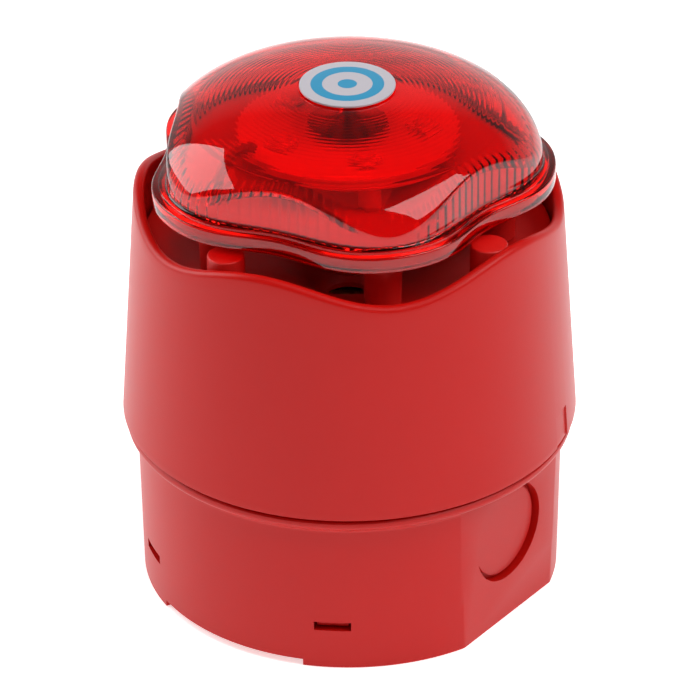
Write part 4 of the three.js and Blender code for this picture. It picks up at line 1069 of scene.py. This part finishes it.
@dataclass
class Label:
    """The round printed film in the lens's recess."""

    paints: Paints

    def build(self) -> bpy.types.Object:
        """Builds the film with a softly rounded edge."""
        low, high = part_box("label")
        radius, z0, z1 = high.x / MM, low.z / MM, high.z / MM
        profile = [(radius * 0.5, z0), (radius, z0)]
        profile += corner((radius, z1 - 0.15), (radius, z1), (radius - 0.15, z1))
        profile += [(radius * 0.5, z1)]
        film = turned("label_film", profile, Ends.POLES, columns=96, sharp=50)
        self.paints.dress(film, LABEL_FILM)
        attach(film, "head")
        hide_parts("label")
        return film


@dataclass
class Beacon:
    """Tray, posts, light sources and reflector under the lens."""

    paints: Paints
    lobes: Lobes
    post_circle: float = 30.0
    post_radius: float = 4.0
    post_length: float = 13.4
    post_taper: float = 0.35
    tray_inset: float = 2.6
    tray_thickness: float = 2.0
    rim_height: float = 3.1
    plug_radius: float = 22.0

    def build(self) -> list[bpy.types.Object]:
        """Builds the tray, the reflector and the light sources."""
        return [self.tray(), self.reflector()] + self.sources()

    def tray(self) -> bpy.types.Object:
        """The lobed plate with the deflecting cone and the five posts."""
        low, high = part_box("beacon_tray")
        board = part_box("beacon_board")[0].z / MM
        plate_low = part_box("lens")[0].z / MM + 0.2
        plate_top = plate_low + self.tray_thickness
        tip = low.z / MM
        foot = plate_low - self.post_length
        edge: Section = lambda a: (self.lobes.flange(a) - self.tray_inset, plate_low)
        cone = [(self.plug_radius * s, tip + (plate_low - tip) * s**1.6) for s in steps(12)[1:]]
        sections: list[Section] = [lambda _, r=r, z=z: (r, z) for r, z in cone]
        sections += [edge, self.on_rim(0.0, plate_low + self.rim_height),
                     self.on_rim(-1.2, plate_low + self.rim_height), self.on_rim(-1.2, plate_top),
                     lambda _: (12.0, plate_top)]
        tray = swept("beacon_tray_body", even_azimuths(180), sections, Ends.POLES)
        pieces = [tray]
        for azimuth in self.lobes.centres():
            pieces.append(self.post(azimuth, foot, plate_low - 0.05))
            pieces.append(self.web(azimuth, foot + 5, plate_low - 0.05))
        for azimuth in self.lobes.centres()[:3]:
            pieces.append(self.rest(azimuth, plate_top + SHELL_GAP, min(board - 0.2, high.z / MM)))
        whole = joined("beacon_tray_body", pieces)
        self.paints.dress(whole, INNER_RED)
        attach(whole, "head")
        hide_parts("beacon_tray")
        return whole

    def on_rim(self, inwards: float, z: float) -> Section:
        """A ring on the tray's upstanding rim, which backs the lens's flange."""
        return lambda azimuth: (self.lobes.flange(azimuth) - self.tray_inset + inwards, z)

    def post(self, azimuth: float, low: float, high: float) -> bpy.types.Object:
        """A drafted round post with a rounded foot."""
        foot = self.post_radius - self.post_taper
        profile = [(foot * 0.45, low), (foot - 0.4, low), (foot, low + 0.4)]
        profile += [(self.post_radius, high), (self.post_radius * 0.5, high)]
        post = turned("post", profile, Ends.POLES, columns=40)
        post.data.transform(Matrix.Translation(polar(self.post_circle, azimuth, 0)))
        return post

    def web(self, azimuth: float, low: float, high: float) -> bpy.types.Object:
        """The rib that ties a post to the cone."""
        near, far = self.plug_radius * 0.62, self.post_circle - self.post_radius
        rib = block("web", (-1, -far - 0.4, low), (1, -near, high))
        rib.data.transform(Matrix.Rotation(math.radians(azimuth), 4, "Z"))
        return rib

    def rest(self, azimuth: float, low: float, high: float) -> bpy.types.Object:
        """A pillar that the beacon board lies on."""
        profile = [(1.0, low), (2.3, low), (2.1, high), (1.0, high)]
        pillar = turned("rest", profile, Ends.POLES, columns=32)
        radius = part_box("beacon_board")[1].x / MM - 3
        pillar.data.transform(Matrix.Translation(polar(radius, azimuth, 0)))
        return pillar

    def reflector(self) -> bpy.types.Object:
        """The bright flared cone in the middle of the board."""
        low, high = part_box("reflector")
        radius, z0, z1 = high.x / MM, low.z / MM, high.z / MM
        profile = [(radius * 0.5, z0), (radius, z0), (radius, z0 + 0.5)]
        for share in steps(14):
            reach = radius * (1 - share) ** 1.7 * 0.9 + 0.9
            profile.append((reach, z0 + 0.6 + (z1 - z0 - 0.6) * share))
        cone = turned("reflector_cone", profile, Ends.POLES, columns=96)
        self.paints.dress(cone, MIRROR_METAL)
        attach(cone, "head")
        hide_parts("reflector")
        return cone

    def sources(self) -> list[bpy.types.Object]:
        """The five light sources: a square package with a domed yellow face."""
        made = []
        for index in range(1, self.lobes.count + 1):
            node = f"led_{index}"
            low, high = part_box(node)
            middle = (low + high) / 2
            half = (high.x - low.x) / 2 / MM
            z0, z1 = low.z / MM, high.z / MM
            waist = blend(z0, z1, 0.5)
            case = block("case", (-half, -half, z0), (half, half, waist))
            soften(case, 0.25)
            profile = [(half * 0.4, waist + 0.01), (half * 0.78, waist + 0.01)]
            profile += corner((half * 0.78, waist + 0.2), (half * 0.74, z1), (half * 0.3, z1), 7)
            face = turned("face", profile, Ends.POLES, columns=40)
            self.paints.dress(case, WHITE_NYLON)
            face.data.materials.append(self.paints.get(WHITE_NYLON))
            face.data.materials.append(self.paints.get(PHOSPHOR))
            face.data.polygons.foreach_set("material_index", [1] * len(face.data.polygons))
            source = joined(f"light_source_{index}", [case, face])
            source.data.materials.append(self.paints.get(WHITE_NYLON))
            source.data.materials.append(self.paints.get(PHOSPHOR))
            source.data.transform(Matrix.Translation(Vector((middle.x, middle.y, 0))))
            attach(source, "head")
            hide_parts(node)
            made.append(source)
        return made


@dataclass
class Horn:
    """The flare that the sound comes out of, seen through the wavy gap."""

    paints: Paints
    throat: float = 5.0
    throat_rise: float = 5.2
    foot: tuple[float, float] = (19.4, 22.0)
    wall: float = 2.0
    brim_width: float = 9.0
    rim_wave: float = 2.5
    drum_azimuths: tuple[float, ...] = (-3.6, 86.4, 176.4)
    drum_radius: float = 3.9
    drum_circle: float = 36.49
    brim_drop: float = 9.2

    def build(self) -> bpy.types.Object:
        """Builds the flare with a round-edged brim."""
        low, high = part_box("horn")
        radius, z0, drum_top = high.x / MM, low.z / MM, high.z / MM
        z1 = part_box("housing")[1].z / MM - self.rim_wave - self.brim_drop
        inner = radius - self.brim_width
        throat_z = z0 + self.throat_rise
        growth = math.log(inner / self.throat)
        upper = []
        for share in steps(24):
            upper.append((self.throat * math.exp(growth * share), blend(throat_z, z1, share)))
        foot_in, foot_out = self.foot
        under = [(r + 0.2, z - self.wall - 0.6) for r, z in upper if r > foot_out + 1]
        profile = [(self.throat, throat_z - 1), (foot_in, z0), (foot_out, z0),
                   (foot_out, under[0][1] - 0.4)]
        profile += under + [(inner, z1 - self.wall), (radius, z1 - self.wall)]
        profile += corner((radius, z1 - 0.5), (radius, z1), (radius - 0.5, z1))
        profile += upper[::-1]
        flare = turned("horn_flare", profile, Ends.RING, columns=180)
        drums = [self.drum(azimuth, z1, drum_top) for azimuth in self.drum_azimuths]
        flare = joined("horn_flare", [flare] + drums)
        self.paints.dress(flare, INNER_RED)
        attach(flare, "head")
        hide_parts("horn")
        return flare

    def drum(self, azimuth: float, brim: float, top: float) -> bpy.types.Object:
        """A round boss that stands on the brim, with a rounded top."""
        radius = self.drum_radius
        profile = [(radius * 0.4, brim + SHELL_GAP), (radius, brim + SHELL_GAP)]
        profile += corner((radius - 0.2, top - 0.5), (radius - 0.2, top), (radius - 0.7, top))
        profile += [(radius * 0.4, top)]
        boss = turned("drum", profile, Ends.POLES, columns=48)
        boss.data.transform(Matrix.Translation(polar(self.drum_circle, azimuth, 0)))
        return boss


# ------------------------------------------------------------------ parts that keep their shape


@dataclass
class KeptParts:
    """Frame parts whose shape is right and which only need their finish."""

    paints: Paints
    nodes: dict[str, bpy.types.Object]
    by_slot: dict[str, Finish] = field(default_factory=lambda: {
        "red_shell": SATIN_RED, "red_inner": INNER_RED, "grey_moulding": GREY_PBT,
        "white_moulding": WHITE_NYLON, "rubber": BLACK_EPDM, "green_board": GREEN_MASK,
        "white_board": WHITE_MASK, "ferrite": SINTERED, "steel": ZINC_STEEL,
        "bronze": BRONZE_STRIP, "film": AMBER_FILM, "cable": RED_PVC,
        "reflector": MIRROR_METAL,
    })

    def build(self, record: dict[str, Any]) -> None:
        """Gives each frame part the finish of its slot."""
        for row in record["subparts"]:
            finish = self.by_slot.get(row["material_slot"])
            node = self.nodes[row["node"]]
            if finish is None:
                continue
            self.paints.dress(node, finish)
            smooth(node.data, 28)


# ------------------------------------------------------------------ studio


@dataclass
class Studio:
    """Pale floor, soft light and the camera."""

    azimuth: float = 37.4
    elevation: float = 30.888
    distance: float = 0.952457
    look_height: float = 0.048831
    roll: float = -0.406
    focal: float = 239.87
    shift: float = 0.001134
    floor_glow: float = 0.6
    room: float = 0.08
    backdrop: float = 1.0
    backdrop_fall: float = 1.9

    def build(self) -> None:
        """Builds the whole studio."""
        self.camera()
        self.floor()
        self.world()
        self.lights()
        view = bpy.context.scene.view_settings
        view.view_transform = "Standard"
        view.look = "None"

    def camera(self) -> None:
        """The camera, first of all."""
        data = bpy.data.cameras.new("camera")
        data.lens = self.focal
        data.sensor_width = 36.0
        data.shift_x = self.shift
        data.clip_end = 20.0
        camera = bpy.data.objects.new("camera", data)
        bpy.context.scene.collection.objects.link(camera)
        around, up = math.radians(self.azimuth), math.radians(self.elevation)
        back = Vector((math.cos(up) * math.sin(around), -math.cos(up) * math.cos(around),
                       math.sin(up)))
        right = Vector((math.cos(around), math.sin(around), 0))
        above = back.cross(right)
        turn = math.radians(self.roll)
        right, above = (right * math.cos(turn) + above * math.sin(turn),
                        above * math.cos(turn) - right * math.sin(turn))
        rotation = Matrix((right, above, back)).transposed().to_4x4()
        place = Vector((0, 0, self.look_height)) + back * self.distance
        camera.matrix_world = Matrix.Translation(place) @ rotation
        bpy.context.scene.camera = camera

    def floor(self) -> None:
        """A wide pale floor."""
        floor = mesh_object("floor", [Vector((x, y, -0.0002)) for x, y in
                                      ((-3, -3), (3, -3), (3, 3), (-3, 3))], [(0, 1, 2, 3)])
        material, tree = blank_material("floor_paper")
        shader = add_node(tree, "ShaderNodeBsdfPrincipled",
                          values={"Base Color": linear("#F7F7F7"), "Roughness": 0.7,
                                  "Specular IOR Level": 0.2,
                                  "Emission Color": (1.0, 1.0, 1.0, 1.0),
                                  "Emission Strength": self.floor_glow})
        add_node(tree, "ShaderNodeOutputMaterial", links={"Surface": shader.outputs["BSDF"]})
        floor.data.materials.append(material)

    def world(self) -> None:
        """A bright backdrop low behind the object, which fades to a dim room."""
        world = bpy.data.worlds.new("studio")
        bpy.context.scene.world = world
        world.use_nodes = True
        tree = world.node_tree
        tree.nodes.clear()
        around = math.radians(self.azimuth)
        towards = (-math.sin(around), math.cos(around), -self.backdrop_fall)
        place = add_node(tree, "ShaderNodeTexCoord").outputs["Generated"]
        along = add_node(tree, "ShaderNodeVectorMath", links={0: place},
                         operation="DOT_PRODUCT")
        along.inputs[1].default_value = towards
        light = add_node(tree, "ShaderNodeMapRange", links={"Value": along.outputs["Value"]},
                         values={"From Min": -0.3, "From Max": 0.9, "To Min": self.room,
                                 "To Max": self.backdrop})
        sky = add_node(tree, "ShaderNodeBackground", values={"Color": (1.0, 1.0, 1.0, 1.0)},
                       links={"Strength": light.outputs["Result"]})
        add_node(tree, "ShaderNodeOutputWorld", links={"Surface": sky.outputs["Background"]})

    def lights(self) -> None:
        """A softbox at each side and one overhead."""
        self.softbox("left", azimuth=-76, elevation=28, distance=1.0, size=(0.65, 0.75), watts=6)
        self.softbox("right", azimuth=105, elevation=47, distance=1.0, size=(0.85, 0.5),
                     watts=5.5)
        self.softbox("top", azimuth=37, elevation=78, distance=1.2, size=(0.7, 0.7), watts=7,
                     mirrored=False)

    def softbox(self, name: str, azimuth: float, elevation: float, distance: float,
                size: tuple[float, float], watts: float, mirrored: bool = True) -> None:
        """A rectangular light that faces the object.

        Args:
            name: the light's name.
            azimuth: degrees from -Y, growing towards +X.
            elevation: degrees above the horizon.
            distance: metres from the object.
            size: width and height in metres.
            watts: power.
            mirrored: whether glossy surfaces show it.
        """
        data = bpy.data.lights.new(name, "AREA")
        data.shape = "RECTANGLE"
        data.size, data.size_y = size
        data.energy = watts
        lamp = bpy.data.objects.new(name, data)
        lamp.visible_glossy = mirrored
        bpy.context.scene.collection.objects.link(lamp)
        around, up = math.radians(azimuth), math.radians(elevation)
        towards = Vector((math.cos(up) * math.sin(around), -math.cos(up) * math.cos(around),
                          math.sin(up)))
        lamp.location = towards * distance + Vector((0, 0, self.look_height))
        lamp.rotation_euler = towards.to_track_quat("Z", "Y").to_euler()


# ------------------------------------------------------------------ the whole thing


def main() -> None:
    """Loads the frame, builds each sub-assembly in order and reports each piece."""
    logging.basicConfig(level=logging.INFO, format="%(name)s: %(message)s")
    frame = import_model()
    Studio().build()
    paints = Paints()
    lobes = Lobes()
    KeptParts(paints, frame["nodes"]).build(frame["record"])
    base = Base(paints)
    makers = [base, MountingPlate(paints, base), Housing(paints, lobes), Lens(paints, lobes),
              Label(paints), Beacon(paints, lobes), Horn(paints)]
    for maker in makers:
        made = maker.build()
        for piece in made if isinstance(made, list) else [made]:
            LOG.info("%s: %d faces", piece.name, len(piece.data.polygons))


if __name__ == "__main__":
    main()
